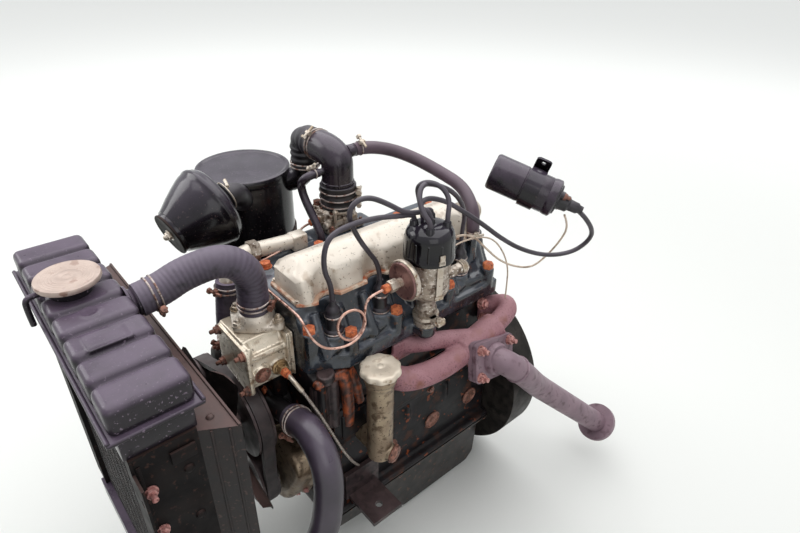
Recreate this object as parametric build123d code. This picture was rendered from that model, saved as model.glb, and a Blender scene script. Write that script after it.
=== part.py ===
"""Petrol engine unit of an army 4x4 car, with its radiator, air cleaner and ignition coil.

Millimetres. The crankshaft runs along Y, with the fan end at low Y and the flywheel end at Y = 0.
X is the exhaust side of the engine and Z is up. The origin is on the crankshaft's axis, in the
rear face of the flywheel housing. Lengths "back" are measured from the cylinder block's front face.
"""
import os
from math import cos, pi, radians, sin, tan

from build123d import *

# Engine castings
BORES = 4
BORE_PITCH = 87.0
FIRST_BORE = 54.0
REAR_WALL = 80.0          # from the last bore's middle to the block's rear face
BLOCK_LENGTH = FIRST_BORE + (BORES - 1) * BORE_PITCH + REAR_WALL
HOUSING_DEPTH = 65.0
FRONT = -(BLOCK_LENGTH + HOUSING_DEPTH)
RUN = 0.5                 # clearance round a turning shaft
SEAT = 0.3                # clearance where curved faces meet
RAIL_Z = -70.0            # joint of block and sump
RAIL_HALF = 128.0
SUMP_FLOOR = -205.0
CRANKCASE_HALF = 112.0
NEAR_WALL = 104.0         # exhaust side of the cylinders
FAR_WALL = -88.0          # inlet side of the cylinders
DECK_NEAR = 236.0         # head joint, lower on the exhaust side
DECK_FAR = 268.0
HEAD_TOP = 345.0
HEAD_SHORT = 8.0          # the head stops this far short of the block's rear face
HEAD_BOLT_X = 101.0
HEAD_BOLT_Z = DECK_NEAR + 56
COVER_HALF = 62.0
COVER_TOP = 403.0
COVER_BACK = 12.0
COVER_LENGTH = BLOCK_LENGTH - 55.0
COVER_LIP = 5.0           # how far the lip stands out at the cover's ends
FLANGE = 5.0
COVER_POCKET_R = 41.0     # hollows in the cover's near side, round each spark plug
LIP_POCKET_R = 37.0

# Shafts and pulleys
CRANK_SHAFT_R = 24.0
BELT_PLANE = -64.0        # belt's middle, back from the block's front face
BELT_WIDTH = 20.0
BELT_THICK = 9.0
PUMP_Z = 134.0
DYNAMO_X = -155.0
DYNAMO_Z = 98.0
CRANK_PULLEY_R = 50.0     # to the inside of the belt
PUMP_PULLEY_R = 60.0
DYNAMO_PULLEY_R = 34.0
RIM_STEP = 8.0            # pulley flanges stand this far past the belt's inside
RIM_THICK = 4.0
DYNAMO_R = 50.0
FAN_R = 150.0
FAN_BACK = -108.0
BLADES = 4
BLADE_CHORD = 54.0
BLADE_THICK = 3.0
BLADE_ANGLE = 28.0

# Flywheel end
HOUSING_R = 185.0
HOUSING_PCD = 340.0
HOUSING_BOLTS = 12
HOUSING_HOLE_R = 5.25
HOUSING_WALL = 10.0
HOUSING_LAND = 16.0       # from the bolt circle in to the housing's bore
FLYWHEEL_R = HOUSING_PCD / 2 - HOUSING_LAND - 8
STARTER_X = -172.0
STARTER_Z = -18.0
STARTER_R = 48.0

# Radiator
RAD_BACK = -231.0         # middle of the header tank
TANK_TOP = 423.0
TANK_SEAM = 389.0
TANK_HALF = 191.0
TANK_DEPTH = 88.0
TANK_FLOOR = 350.0
TANK_PANELS = 8
CORE_HALF = 168.0
CORE_DEPTH = 58.0
CORE_BANKS = 10
CORE_GAP = 8.0
CORE_GAP_DEEP = 9.0
CORE_FLOOR = -40.0
RAD_FLOOR = -95.0
COLUMN_HALF = 190.0
SHEET = 2.0
COWL_BACK = -155.0
COWL_HALF = 213.0
COWL_HOLE_R = 168.0
CAP_X = -40.0
CAP_BACK = -238.0
CAP_R = 37.5

# Cooling hoses
HOSE_R = 22.5
HOSE_WALL = 4.0
HOUSING_TOP = 306.0       # joint of the thermostat housing and its outlet
BYPASS_R = 17.0
WIRE_R = 1.4
OUTLET_BACK = -31.0
OUTLET_X = 10.0
TANK_OUTLET_X = -5.0
TANK_OUTLET_Z = 400.0

# Ignition
DIST_X = 124.0
DIST_CUP_R = 34.0
DIST_CAP_R = 39.0
DIST_CAP_Z = 385.0
DIST_CAP_TALL = 53.0
TOWER_CIRCLE = 24.0
TOWER_TURN = 15.0
VACUUM_Z = 361.0
VACUUM_R = 32.5
DIST_BASE_Z = DECK_NEAR + 26
DIST_SEAT_Z = DECK_NEAR + 4
PLUG_X = 84.0
PLUG_Z = 292.0
PLUG_TOP = 338.0
PLUG_WELL_R = 15.5
LEAD_R = 3.8
WIRE_LEAD_R = 1.7
COIL_R = 28.5
COIL_PCD = 56.0
COIL_HOLE_R = 3.5
BAND_WIDE = 24.0

# Air intake
CARB_X = -98.0
ELBOW_R = 27.0
SPIGOT_R = 11.0
CLEANER_X = -268.0
CLEANER_BACK = 108.0
CLEANER_TOP = 426.0
STRAP_Z = 280.0           # lower edge of the air cleaner's strap
CLEANER_FLOOR = 236.0
CLEANER_R = 84.0

# Oil filler and exhaust
FILLER_X = 150.0
FILLER_TOP = 236.0
FILLER_FOOT = 60.0
FILLER_R = 21.0
FILLER_NECK_R = 18.0      # the pipe's foot, where it enters the block
PORT_Z = 182.0
LOG_X = 150.0
LOG_R = 20.0
PIPE_R = 22.0


def back(distance):
    """Y of a place behind the block's front face."""
    return FRONT + distance


def block(x, y, z):
    """A box between the low and high places on each axis, Y counted back from the block's front."""
    size = (x[1] - x[0], y[1] - y[0], z[1] - z[0])
    middle = ((x[0] + x[1]) / 2, back((y[0] + y[1]) / 2), (z[0] + z[1]) / 2)
    return Pos(*middle) * Box(*size)


def place(point):
    """A point given with its Y counted back from the block's front."""
    return Vector(point[0], back(point[1]), point[2])


def turned(start, direction, profile):
    """A form turned about an axis, from pairs of radius and distance along it."""
    half = make_face(Plane.XZ * Polyline(*profile, close=True))
    return Plane(origin=place(start), z_dir=Vector(*direction)) * revolve(half, axis=Axis.Z)


def rod(start, end, radius, inner=0.0):
    """A round bar or tube between two places."""
    first, last = place(start), place(end)
    face = Plane(origin=first, z_dir=last - first) * Circle(radius)
    if inner:
        face = face - Plane(origin=first, z_dir=last - first) * Circle(inner)
    return extrude(face, amount=(last - first).length, dir=(last - first).normalized())


def across(outline, y_low, y_high):
    """Extrude an X-Z outline along the engine."""
    wire = Polyline(*[(x, back(y_low), z) for x, z in outline], close=True)
    return extrude(make_face(wire), amount=y_high - y_low, dir=(0, 1, 0))


def along(outline, x_low, x_high):
    """Extrude a Y-Z outline across the engine."""
    wire = Polyline(*[(x_low, back(y), z) for y, z in outline], close=True)
    return extrude(make_face(wire), amount=x_high - x_low, dir=(1, 0, 0))


def hull_across(circles, y_low, y_high):
    """Extrude the outline that wraps circles given as (x, z, radius)."""
    plane = Plane(origin=(0, back(y_low), 0), x_dir=(1, 0, 0), z_dir=(0, -1, 0))
    edges = []
    for x, z, radius in circles:
        edges += (Pos(x, z) * Circle(radius)).edges()
    face = plane * make_hull(edges)
    return extrude(face, amount=y_high - y_low, dir=(0, 1, 0))


def onwards(start, through, distance):
    """A place on the line from one place through another, past it by a distance."""
    step = Vector(*through) - Vector(*start)
    return tuple(Vector(*through) + step.normalized() * distance)


END_SHARE = 0.9           # how much of an end run its one bend may use
RUN_SHARE = 0.47          # how much of any other run each of its two bends may use


def bend_radii(points, largest):
    """The radius of each corner, as large as its two runs allow, up to the largest."""
    radii = []
    for corner in range(1, len(points) - 1):
        before, here, after = points[corner - 1:corner + 2]
        turn = (here - before).get_angle(after - here)
        first = (here - before).length * (END_SHARE if corner == 1 else RUN_SHARE)
        last = (after - here).length * (END_SHARE if corner == len(points) - 2 else RUN_SHARE)
        radii.append(min(largest, min(first, last) / tan(radians(turn) / 2)))
    return radii


def tube(points, radius, inner=0.0, bend=1000.0):
    """A tube along straight runs joined by arcs, through places counted back from the block."""
    route = [place(point) for point in points]
    if len(route) == 2:
        path = Line(route[0], route[1])
    else:
        path = FilletPolyline(*route, radius=bend_radii(route, bend))
    section = Circle(radius) - Circle(inner) if inner else Circle(radius)
    return sweep(Plane(origin=path @ 0, z_dir=path % 0) * section, path=path)


def ring(centre, direction, radius, wire):
    """A round wire ring about an axis."""
    plane = Plane(origin=place(centre), z_dir=direction)
    return plane * Torus(radius, wire)


def hexagon_head(centre, direction, across_flats, height):
    """A hexagon bolt head that stands on a surface."""
    plane = Plane(origin=place(centre), z_dir=direction)
    return extrude(plane * RegularPolygon(across_flats / 2, 6, major_radius=False), amount=height)


def hull_upright(circles, z_low, z_high):
    """An upright boss whose outline wraps circles given as (x, y, radius)."""
    edges = []
    for x, y, radius in circles:
        edges += (Pos(x, back(y)) * Circle(radius)).edges()
    return extrude(Pos(0, 0, z_low) * make_hull(edges), amount=z_high - z_low)


def round_boss(x, y, z_low, z_high, radius, inner=0.0):
    """An upright round boss."""
    return rod((x, y, z_low), (x, y, z_high), radius, inner)


def crank_bore(y_low, y_high):
    """Room for the crankshaft."""
    return rod((0, y_low, 0), (0, y_high, 0), CRANK_SHAFT_R + RUN)


def bore(number, offset=0.0):
    """How far back a place is that lies behind a bore's middle by an offset."""
    return FIRST_BORE + number * BORE_PITCH + offset


def bore_backs():
    """How far back each bore's middle is."""
    return [bore(number) for number in range(BORES)]


BREATHER_STUB = (78, bore(3, 34), HEAD_TOP - 40, HEAD_TOP + 1)
HEAD_BOLTS = (bore(0, -28), bore(0, 20), bore(1, 21), bore(2, 46), BLOCK_LENGTH - 27)
CORE_PLUGS = (bore(1, -1), bore(2, 17), bore(3, 30))
CARB_BACK = bore(2, -32)
DIST_BACK = bore(2, -26)
FILLER_BACK = bore(0, 35)
COIL = ((113.0, bore(3, 26), 482.0), (202.0, bore(3, 76), 452.0))


def cylinder_block():
    outline = [
        (-RAIL_HALF, RAIL_Z), (RAIL_HALF, RAIL_Z), (RAIL_HALF, RAIL_Z + 12), (CRANKCASE_HALF, RAIL_Z + 20),
        (CRANKCASE_HALF, 30), (NEAR_WALL, 62), (NEAR_WALL, DECK_NEAR), (FAR_WALL, DECK_FAR),
        (FAR_WALL, 70), (-CRANKCASE_HALF, 30), (-CRANKCASE_HALF, RAIL_Z + 20), (-RAIL_HALF, RAIL_Z + 12),
    ]
    body = across(outline, 0, BLOCK_LENGTH)
    for wall, corner, top in ((NEAR_WALL, 12, DECK_NEAR), (NEAR_WALL, BLOCK_LENGTH - 12, PORT_Z - 42),
                              (FAR_WALL, 12, DECK_NEAR), (FAR_WALL, BLOCK_LENGTH - 12, DECK_NEAR)):
        body += round_boss(wall, corner, 40, top, 8)
    for middle in bore_backs():
        body += rod((FAR_WALL - 3, middle, 180), (FAR_WALL + 5, middle, 180), 20)
    for middle in CORE_PLUGS:
        body += rod((CRANKCASE_HALF - 4, middle, 4), (CRANKCASE_HALF + 3, middle, 4), 18)
    return body - crank_bore(-1, BLOCK_LENGTH + 1)


def sump():
    flange = block((-RAIL_HALF, RAIL_HALF), (2, BLOCK_LENGTH - 2), (RAIL_Z - 4, RAIL_Z))
    side = [(6, RAIL_Z - 4), (BLOCK_LENGTH - 6, RAIL_Z - 4), (BLOCK_LENGTH - 12, -188),
            (BLOCK_LENGTH - 30, SUMP_FLOOR), (185, SUMP_FLOOR), (120, -138), (20, -128)]
    pan = along(side, -CRANKCASE_HALF + 4, CRANKCASE_HALF - 4)
    pan = fillet(pan.edges().filter_by(Axis.X).sort_by(Axis.Z)[:3], 12)
    plug = hexagon_head((0, BLOCK_LENGTH - 95, SUMP_FLOOR), (0, 0, -1), 24, 10)
    return flange + pan + plug


def timing_cover():
    circles = [(0, 0, 80), (-60, 34, 38), (78, 56, 36), (0, -14, 66)]
    cover = hull_across([(x, z, radius - 6) for x, z, radius in circles], -42, -6)
    cover = chamfer(cover.faces().sort_by(Axis.Y)[0].edges(), 6)
    cover += hull_across(circles, -8, 0)
    cover += rod((0, -47, 0), (0, -42, 0), 44)
    cover += hull_across([(77, 66, 14), (140, 44, 11)], -18, -6)
    return cover - crank_bore(-50, 2)


def flywheel_housing():
    rear = BLOCK_LENGTH + HOUSING_DEPTH
    shell = rod((0, BLOCK_LENGTH, 0), (0, rear, 0), HOUSING_R)
    shell += rod((STARTER_X, BLOCK_LENGTH, STARTER_Z), (STARTER_X, BLOCK_LENGTH + 16, STARTER_Z), STARTER_R + 12)
    shell -= rod((0, BLOCK_LENGTH + HOUSING_WALL, 0), (0, rear + 1, 0), HOUSING_PCD / 2 - HOUSING_LAND)
    for index in range(HOUSING_BOLTS):
        angle = 2 * pi * (index + 0.5) / HOUSING_BOLTS
        x, z = HOUSING_PCD / 2 * cos(angle), HOUSING_PCD / 2 * sin(angle)
        shell -= rod((x, BLOCK_LENGTH + 20, z), (x, rear + 1, z), HOUSING_HOLE_R)
    return shell - crank_bore(BLOCK_LENGTH - 1, BLOCK_LENGTH + HOUSING_WALL + 1)


def cylinder_head():
    low, high = 0, BLOCK_LENGTH - HEAD_SHORT
    outline = [(FAR_WALL, DECK_FAR), (FAR_WALL, HEAD_TOP), (COVER_HALF + 5, HEAD_TOP), (82, DECK_NEAR + 64),
               (94, DECK_NEAR + 48), (116, DECK_NEAR + 34), (116, DECK_NEAR), (NEAR_WALL, DECK_NEAR)]
    head = across(outline, low, high)
    head += block((CARB_X - 30, FAR_WALL), (CARB_BACK - 70, CARB_BACK + 70), (HEAD_TOP - 46, HEAD_TOP))
    for y in HEAD_BOLTS:
        head += round_boss(HEAD_BOLT_X, y, DECK_NEAR + 6, HEAD_BOLT_Z, 13)
        head += rod((HEAD_BOLT_X - 4, y, DECK_NEAR + 24), (66, y, 324), 12)
    for y in bore_backs():
        head += round_boss(PLUG_X, y, DECK_NEAR + 9, PLUG_Z, PLUG_WELL_R + 2)
    head += hull_upright([(NEAR_WALL, DIST_BACK, 24), (DIST_X, DIST_BACK, 19)], DIST_SEAT_Z, DIST_BASE_Z)
    head -= hull_upright([(DIST_X, DIST_BACK, 20), (DIST_X + 20, DIST_BACK, 20)], DIST_BASE_Z, HEAD_TOP)
    for y in bore_backs():
        head -= round_boss(PLUG_X, y, PLUG_Z, HEAD_TOP + 1, PLUG_WELL_R)
    for y in HEAD_BOLTS:
        head += hexagon_head((HEAD_BOLT_X, y, HEAD_BOLT_Z), (0, 0, 1), 17, 9)
    head += round_boss(*BREATHER_STUB, SPIGOT_R - 3)
    return head - round_boss(*BREATHER_STUB, 5)


def rocker_cover():
    outline = [(-COVER_HALF + 4, HEAD_TOP), (COVER_HALF - 3, HEAD_TOP), (COVER_HALF - 6, COVER_TOP - 17),
               (COVER_HALF - 28, COVER_TOP), (-COVER_HALF + 32, COVER_TOP), (-COVER_HALF + 10, COVER_TOP - 19)]
    front, rear = COVER_BACK, COVER_BACK + COVER_LENGTH
    cover = across(outline, front, rear)
    for end, inwards in ((front, 1), (rear, -1)):
        slope = [(end, COVER_TOP - 23), (end + 26 * inwards, COVER_TOP + 1), (end - inwards, COVER_TOP + 1),
                 (end - inwards, COVER_TOP - 23)]
        cover -= along(slope, -COVER_HALF, COVER_HALF)
    lip = block((-COVER_HALF, COVER_HALF + 4), (front - COVER_LIP, rear + COVER_LIP), (HEAD_TOP, HEAD_TOP + FLANGE))
    for y in bore_backs():
        cover -= round_boss(PLUG_X, y, HEAD_TOP - 1, COVER_TOP + 1, COVER_POCKET_R)
        lip -= round_boss(PLUG_X, y, HEAD_TOP - 1, HEAD_TOP + FLANGE + 1, LIP_POCKET_R)
    return cover + lip


def valve_side_cover():
    low, high = 30, BLOCK_LENGTH - 20
    plate = block((NEAR_WALL, NEAR_WALL + 3.5), (low, high), (76, 152))
    plate += block((NEAR_WALL + 2, NEAR_WALL + 7), (low + 14, high - 14), (88, 140))
    return plate - rod((NEAR_WALL - 1, FILLER_BACK, FILLER_FOOT + 20), (NEAR_WALL + 8, FILLER_BACK, FILLER_FOOT + 20),
                       FILLER_NECK_R + SEAT)


PORTS = ((bore(1, -15), PORT_Z + 14), (bore(1, 27), PORT_Z + 33), (bore(3, 57), PORT_Z + 22))
PAD_THICK = 9.0
PIPE_START = (LOG_X + 34, bore(3, -11), PORT_Z - 8)
PIPE_DIRECTION = Vector(0.18, 0.70, -0.69).normalized()
PIPE_LENGTH = 430.0
FLANGE_THICK = 10.0
TAIL_PCD = 62.0
TAIL_HOLE_R = 4.5


def exhaust_manifold():
    front = tube([(NEAR_WALL, *PORTS[0]), (LOG_X - 14, bore(1, -7), PORT_Z + 4), (LOG_X + 2, bore(1, 33), PORT_Z),
                  (LOG_X + 8, bore(2, 12), PORT_Z), (LOG_X + 4, bore(3, -5), PORT_Z + 12)], LOG_R)
    collector = rod((LOG_X + 4, bore(2, 34), PORT_Z + 3), (LOG_X + 3, bore(3, 31), PORT_Z + 20), LOG_R + 6)
    branch = tube([(NEAR_WALL, *PORTS[1]), (LOG_X - 28, bore(2, -32), PORT_Z + 36), (LOG_X - 18, bore(2, 22), PORT_Z + 28),
                   (LOG_X, bore(3, -15), PORT_Z + 16)], LOG_R - 5)
    rear = tube([(LOG_X + 3, bore(3, 15), PORT_Z + 17), (LOG_X + 4, bore(3, 57), PORT_Z + 36),
                 (LOG_X - 14, bore(3, 71), PORT_Z + 38), (NEAR_WALL, *PORTS[2])], LOG_R - 3)
    neck = rod((LOG_X + 6, bore(3, -21), PORT_Z + 4), PIPE_START, PIPE_R + 3)
    casting = front + collector + branch + rear + neck + outlet_flange(0)
    for y, z in PORTS:
        pad = block((NEAR_WALL - 5, NEAR_WALL + PAD_THICK), (y - 22, y + 22), (z - 20, z + 18))
        casting += fillet(pad.edges().filter_by(Axis.X), 8)
    casting -= block((0, NEAR_WALL), (0, BLOCK_LENGTH), (PORT_Z - 60, PORT_Z + 90))
    return casting - flange_room()


def outlet_flange(offset):
    plane = Plane(origin=place(PIPE_START) + PIPE_DIRECTION * offset, x_dir=(0, 0.70, 0.71), z_dir=PIPE_DIRECTION)
    return extrude(plane * RectangleRounded(62, 62, 10), amount=FLANGE_THICK)


def flange_room():
    """Room beside the manifold for the front pipe's flange."""
    plane = Plane(origin=place(PIPE_START) + PIPE_DIRECTION * FLANGE_THICK, x_dir=(0, 0.70, 0.71), z_dir=PIPE_DIRECTION)
    return extrude(plane * RectangleRounded(66, 66, 10), amount=4 * FLANGE_THICK)


def exhaust_front_pipe():
    start = place(PIPE_START) + PIPE_DIRECTION * FLANGE_THICK
    end = start + PIPE_DIRECTION * PIPE_LENGTH
    opening = Plane(origin=start, z_dir=PIPE_DIRECTION)
    pipe = extrude(opening * Circle(PIPE_R), amount=PIPE_LENGTH)
    tail_holes = [Rot(0, 0, 120 * index) * Pos(TAIL_PCD / 2, 0) * Circle(TAIL_HOLE_R) for index in range(3)]
    tail_face = Circle(PIPE_R + 18) - tail_holes
    tail = extrude(Plane(origin=end, z_dir=PIPE_DIRECTION) * tail_face, amount=-FLANGE_THICK)
    return outlet_flange(FLANGE_THICK) + pipe + tail - extrude(opening * Circle(PIPE_R - 2.5), amount=PIPE_LENGTH + 1)


def carburettor():
    base, deck = HEAD_TOP, HEAD_TOP + 10
    body = block((CARB_X - 28, CARB_X + 26), (CARB_BACK - 36, CARB_BACK + 36), (base, deck))
    body += block((CARB_X - 24, CARB_X + 14), (CARB_BACK - 30, CARB_BACK + 30), (deck, deck + 26))
    body += block((CARB_X - 34, CARB_X), (CARB_BACK - 42, CARB_BACK - 6), (deck, deck + 22))
    body += rod((CARB_X - 10, CARB_BACK + 20, deck + 11), (CARB_X - 10, CARB_BACK + 38, deck + 11), 9)
    body += round_boss(CARB_X - 30, CARB_BACK - 24, deck + 10, deck + 29, 9)
    throat = [(0, 0), (ELBOW_R - 3, 0), (ELBOW_R - 3, 6), (ELBOW_R - 5, 8), (ELBOW_R - 5, 28), (0, 28)]
    return body + turned((CARB_X, CARB_BACK, deck + 22), (0, 0, 1), throat)


ELBOW_LOW = HEAD_TOP + 62
SPIGOT_Z = 478.0          # the elbow's spigot for the breather hose
VENT_R = 7.0
VENT_END = (CARB_X - 4, CARB_BACK - ELBOW_R - 7, 453.0)
CLEANER_OUTLET = (0.665, 0.747)    # direction of the cleaner's outlet, seen from above
OUTLET_Z = 400.0
OUTLET_REACH = 113.0      # from the cleaner's middle to the middle of its upright outlet
AIR_Z = 480.0


def outlet_place(distance):
    """A place on the axis of the air cleaner's outlet, measured from the cleaner's middle."""
    return (CLEANER_X + CLEANER_OUTLET[0] * distance, CLEANER_BACK + CLEANER_OUTLET[1] * distance, OUTLET_Z)


OUTLET_BEND = outlet_place(OUTLET_REACH)
AIR_BEND = (OUTLET_BEND[0], OUTLET_BEND[1], AIR_Z)
ELBOW_BEND = (CARB_X, CARB_BACK, AIR_Z)
AIR_MOUTH = onwards(AIR_BEND, ELBOW_BEND, -46)
ELBOW_ROUTE = [(CARB_X, CARB_BACK, ELBOW_LOW), ELBOW_BEND, AIR_MOUTH]


def air_elbow():
    spigot = rod((CARB_X, CARB_BACK + ELBOW_R - 5, SPIGOT_Z), (CARB_X, CARB_BACK + ELBOW_R + 8, SPIGOT_Z), SPIGOT_R)
    vent = rod((VENT_END[0], VENT_END[1] + 13, VENT_END[2]), VENT_END, VENT_R - 1)
    return tube(ELBOW_ROUTE, ELBOW_R, ELBOW_R - 3, 36) + spigot + vent


def intake_hoses():
    joint = round_boss(CARB_X, CARB_BACK, HEAD_TOP + 42, ELBOW_LOW + 20, ELBOW_R + 4, ELBOW_R + SEAT)
    hose = tube([AIR_MOUTH, AIR_BEND, (AIR_BEND[0], AIR_BEND[1], OUTLET_Z + 26)], ELBOW_R - 2, ELBOW_R - 6, 34)
    return Compound(children=[joint, hose])


def air_cleaner():
    rim, tall = CLEANER_R + 4, CLEANER_TOP - CLEANER_FLOOR
    can = [(0, 0), (CLEANER_R - 8, 0), (CLEANER_R - 1, 6), (CLEANER_R - 1, 21), (rim, 22), (rim, 29), (CLEANER_R, 31),
           (CLEANER_R, tall - 6), (CLEANER_R - 3, tall - 1.5), (CLEANER_R - 8, tall), (0, tall)]
    body = turned((CLEANER_X, CLEANER_BACK, CLEANER_FLOOR), (0, 0, 1), can)
    stub = tube([outlet_place(CLEANER_R - 14), OUTLET_BEND, (OUTLET_BEND[0], OUTLET_BEND[1], OUTLET_Z + 42)],
                ELBOW_R - 6.2, 0, 24)
    return body + stub


CONE_BIG = (-176.0, 4.0, 412.0)
CONE_SMALL = (-168.0, -72.0, 388.0)


def pre_cleaner():
    first, last = Vector(*CONE_BIG), Vector(*CONE_SMALL)
    length = (last - first).length
    mouth, waist = 68, 34
    profile = [(0, -16), (50, -16), (62, -11), (66, 0), (mouth, 1), (mouth, 7), (66, 8), (62, 22), (54, 40), (44, 58),
               (waist + 2, length - 8), (waist, length), (0, length)]
    cone = turned(CONE_BIG, last - first, profile)
    neck = tube([onwards(CONE_SMALL, CONE_BIG, 10), onwards(CONE_SMALL, CONE_BIG, 44),
                 (CLEANER_X + 46, CLEANER_BACK - 24, 388)], 20)
    neck -= round_boss(CLEANER_X, CLEANER_BACK, CLEANER_FLOOR, CLEANER_TOP + 20, CLEANER_R)
    return cone + neck


def air_cleaner_bracket():
    strap = round_boss(CLEANER_X, CLEANER_BACK, STRAP_Z, STRAP_Z + 22, CLEANER_R + 3, CLEANER_R)
    arm = block((CLEANER_X + CLEANER_R + 1, FAR_WALL), (CLEANER_BACK - 14, CLEANER_BACK + 14), (STRAP_Z + 8, STRAP_Z + 12))
    foot = block((FAR_WALL - 4, FAR_WALL), (CLEANER_BACK - 30, CLEANER_BACK + 30), (STRAP_Z - 10, STRAP_Z + 12))
    return strap + arm + foot


def thermostat_housing():
    body = block((-22, 54), (-70, 0), (228, HOUSING_TOP))
    body += block((-31, 56), (-70, -2), (HOUSING_TOP - 10, HOUSING_TOP))
    body += block((-28, 60), (-9, 0), (222, HOUSING_TOP - 2))
    body += hull_across([(-22, 236, 9), (52, 228, 9), (52, 292, 8), (-24, 294, 8)], -76, -70)
    body += rod((54, -54, 250), (60, -54, 250), 13)
    body += rod((54, -26, 250), (58, -26, 250), 12)
    return body


def thermostat_outlet():
    lugs = [(OUTLET_X, OUTLET_BACK, 27), (-22, -46, 9), (42, -12, 9), (10, -60, 8)]
    plate = hull_upright(lugs, HOUSING_TOP, HOUSING_TOP + 8)
    bore_r = HOSE_R - HOSE_WALL - 0.2
    dome = [(0, 0), (28, 0), (28, 12), (25, 20), (bore_r, 23.5), (bore_r, 46), (0, 46)]
    return plate + turned((OUTLET_X, OUTLET_BACK, HOUSING_TOP), (0, 0, 1), dome)


INLET_BACK = -28.0
INLET_START = (84.0, INLET_BACK, PUMP_Z + 34)
INLET_END = (112.0, INLET_BACK, PUMP_Z + 42)
BYPASS_LOW = (-52.0, -50.0, 236.0)
BYPASS_HIGH = (-54.0, -44.0, 318.0)


def water_pump():
    body = rod((0, -34, PUMP_Z), (0, 0, PUMP_Z), 40)
    body += rod((0, -46, PUMP_Z), (0, -34, PUMP_Z), 26)
    body += block((-30, 30), (-26, 0), (PUMP_Z + 20, 222))
    body += rod((18, INLET_BACK, PUMP_Z + 14), INLET_START, 17)
    body += rod(INLET_START, INLET_END, HOSE_R - HOSE_WALL - 0.2)
    body += tube([(-20, -16, 186), (BYPASS_LOW[0], BYPASS_LOW[1], 206), BYPASS_LOW], BYPASS_R - 3)
    body += rod(BYPASS_LOW, (BYPASS_LOW[0], BYPASS_LOW[1], BYPASS_LOW[2] + 26), BYPASS_R - HOSE_WALL - 0.2)
    return body - rod((0, -50, PUMP_Z), (0, -20, PUMP_Z), 12 + RUN)


TOP_HOSE = [(OUTLET_X, OUTLET_BACK, 330), (OUTLET_X, OUTLET_BACK, 392), (OUTLET_X - 6, OUTLET_BACK - 38, 424),
            (TANK_OUTLET_X, OUTLET_BACK - 92, TANK_OUTLET_Z + 8), (TANK_OUTLET_X, -138, TANK_OUTLET_Z),
            (TANK_OUTLET_X, -177, TANK_OUTLET_Z)]
BOTTOM_HOSE = [INLET_START, onwards(INLET_START, INLET_END, 20), (170, INLET_BACK, 158), (188, -34, 104),
               (196, -54, 30), (182, -92, -36), (150, -130, -68), (150, -180, -68)]
HOSE_BEND = 48.0
BYPASS_BEND = (BYPASS_LOW[0], BYPASS_LOW[1], 282)
BYPASS_HOSE = [BYPASS_LOW, BYPASS_BEND, onwards(BYPASS_BEND, BYPASS_HIGH, 30)]


def coolant_hoses():
    top = tube(TOP_HOSE, HOSE_R, HOSE_R - HOSE_WALL)
    bottom = tube(BOTTOM_HOSE, HOSE_R, HOSE_R - HOSE_WALL, HOSE_BEND)
    bypass = tube(BYPASS_HOSE, BYPASS_R, BYPASS_R - HOSE_WALL, HOSE_BEND)
    return Compound(children=[top, bottom, bypass])


def hose_clips():
    rings = []
    big, small = HOSE_R + WIRE_R + SEAT, BYPASS_R + WIRE_R + SEAT
    for offset in (-4, 4):
        rings.append(ring((OUTLET_X, OUTLET_BACK, 342 + offset), (0, 0, 1), big, WIRE_R))
        rings.append(ring((TANK_OUTLET_X, -164 + offset, TANK_OUTLET_Z), (0, 1, 0), big, WIRE_R))
        rings.append(ring(onwards(INLET_START, INLET_END, offset - 14), inlet_direction(), big, WIRE_R))
        rings.append(ring((BYPASS_LOW[0], BYPASS_LOW[1], BYPASS_LOW[2] + 13 + offset), (0, 0, 1), small, WIRE_R))
        rings.append(ring(onwards(BYPASS_BEND, BYPASS_HIGH, 20 + offset), bypass_direction(), small, WIRE_R))
    return Compound(children=rings)


def inlet_direction():
    return Vector(*INLET_END) - Vector(*INLET_START)


def bypass_direction():
    return Vector(*BYPASS_HIGH) - Vector(*BYPASS_BEND)


def heater_pipe():
    start = onwards(BYPASS_BEND, BYPASS_HIGH, 6)
    turn = onwards(BYPASS_BEND, BYPASS_HIGH, 44)
    pipe = tube([start, turn, (-76, -8, 372), (-78, 40, 366), (-78, 84, 362)], BYPASS_R - HOSE_WALL - 0.2)
    return pipe + block((-90, -66), (84, 112), (HEAD_TOP, HEAD_TOP + 28))


def distributor_body():
    """A shaft housing on a clamp collar, opening to the cup that carries the cap."""
    cup = DIST_CAP_Z - DIST_BASE_Z
    profile = [(0, 0), (19, 0), (19, 7), (15, 9), (15, 22), (17, 24), (17, 33), (15, 35), (15, 48), (26, 60),
               (DIST_CUP_R, 70), (DIST_CUP_R, cup), (0, cup)]
    body = turned((DIST_X, DIST_BACK, DIST_BASE_Z), (0, 0, 1), profile)
    body += rod(WIRE_ROOT, WIRE_POST, 5)
    root, knob = (DIST_X + 18, DIST_BACK, VACUUM_Z - 9), (DIST_X + 26, DIST_BACK + 44, VACUUM_Z)
    body += rod(root, knob, 8.5)
    return body + rod(onwards(root, knob, -2), onwards(root, knob, 10), 11)


def distributor_cap():
    tall, r = DIST_CAP_TALL, DIST_CAP_R
    profile = [(0, 0), (r, 0), (r, 8), (r - 1.5, 10), (r - 2, tall - 14), (r - 6, tall - 4), (r - 17, tall), (0, tall)]
    cap = turned((DIST_X, DIST_BACK, DIST_CAP_Z), (0, 0, 1), profile)
    for index in range(BORES):
        x, y, z = tower(index, TOWER_TOP)
        cap += round_boss(x, y, DIST_CAP_Z + tall - 8, z, 7)
    return cap + round_boss(DIST_X, DIST_BACK, DIST_CAP_Z + tall - 8, TOWER_TOP + 2, 8)


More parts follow.
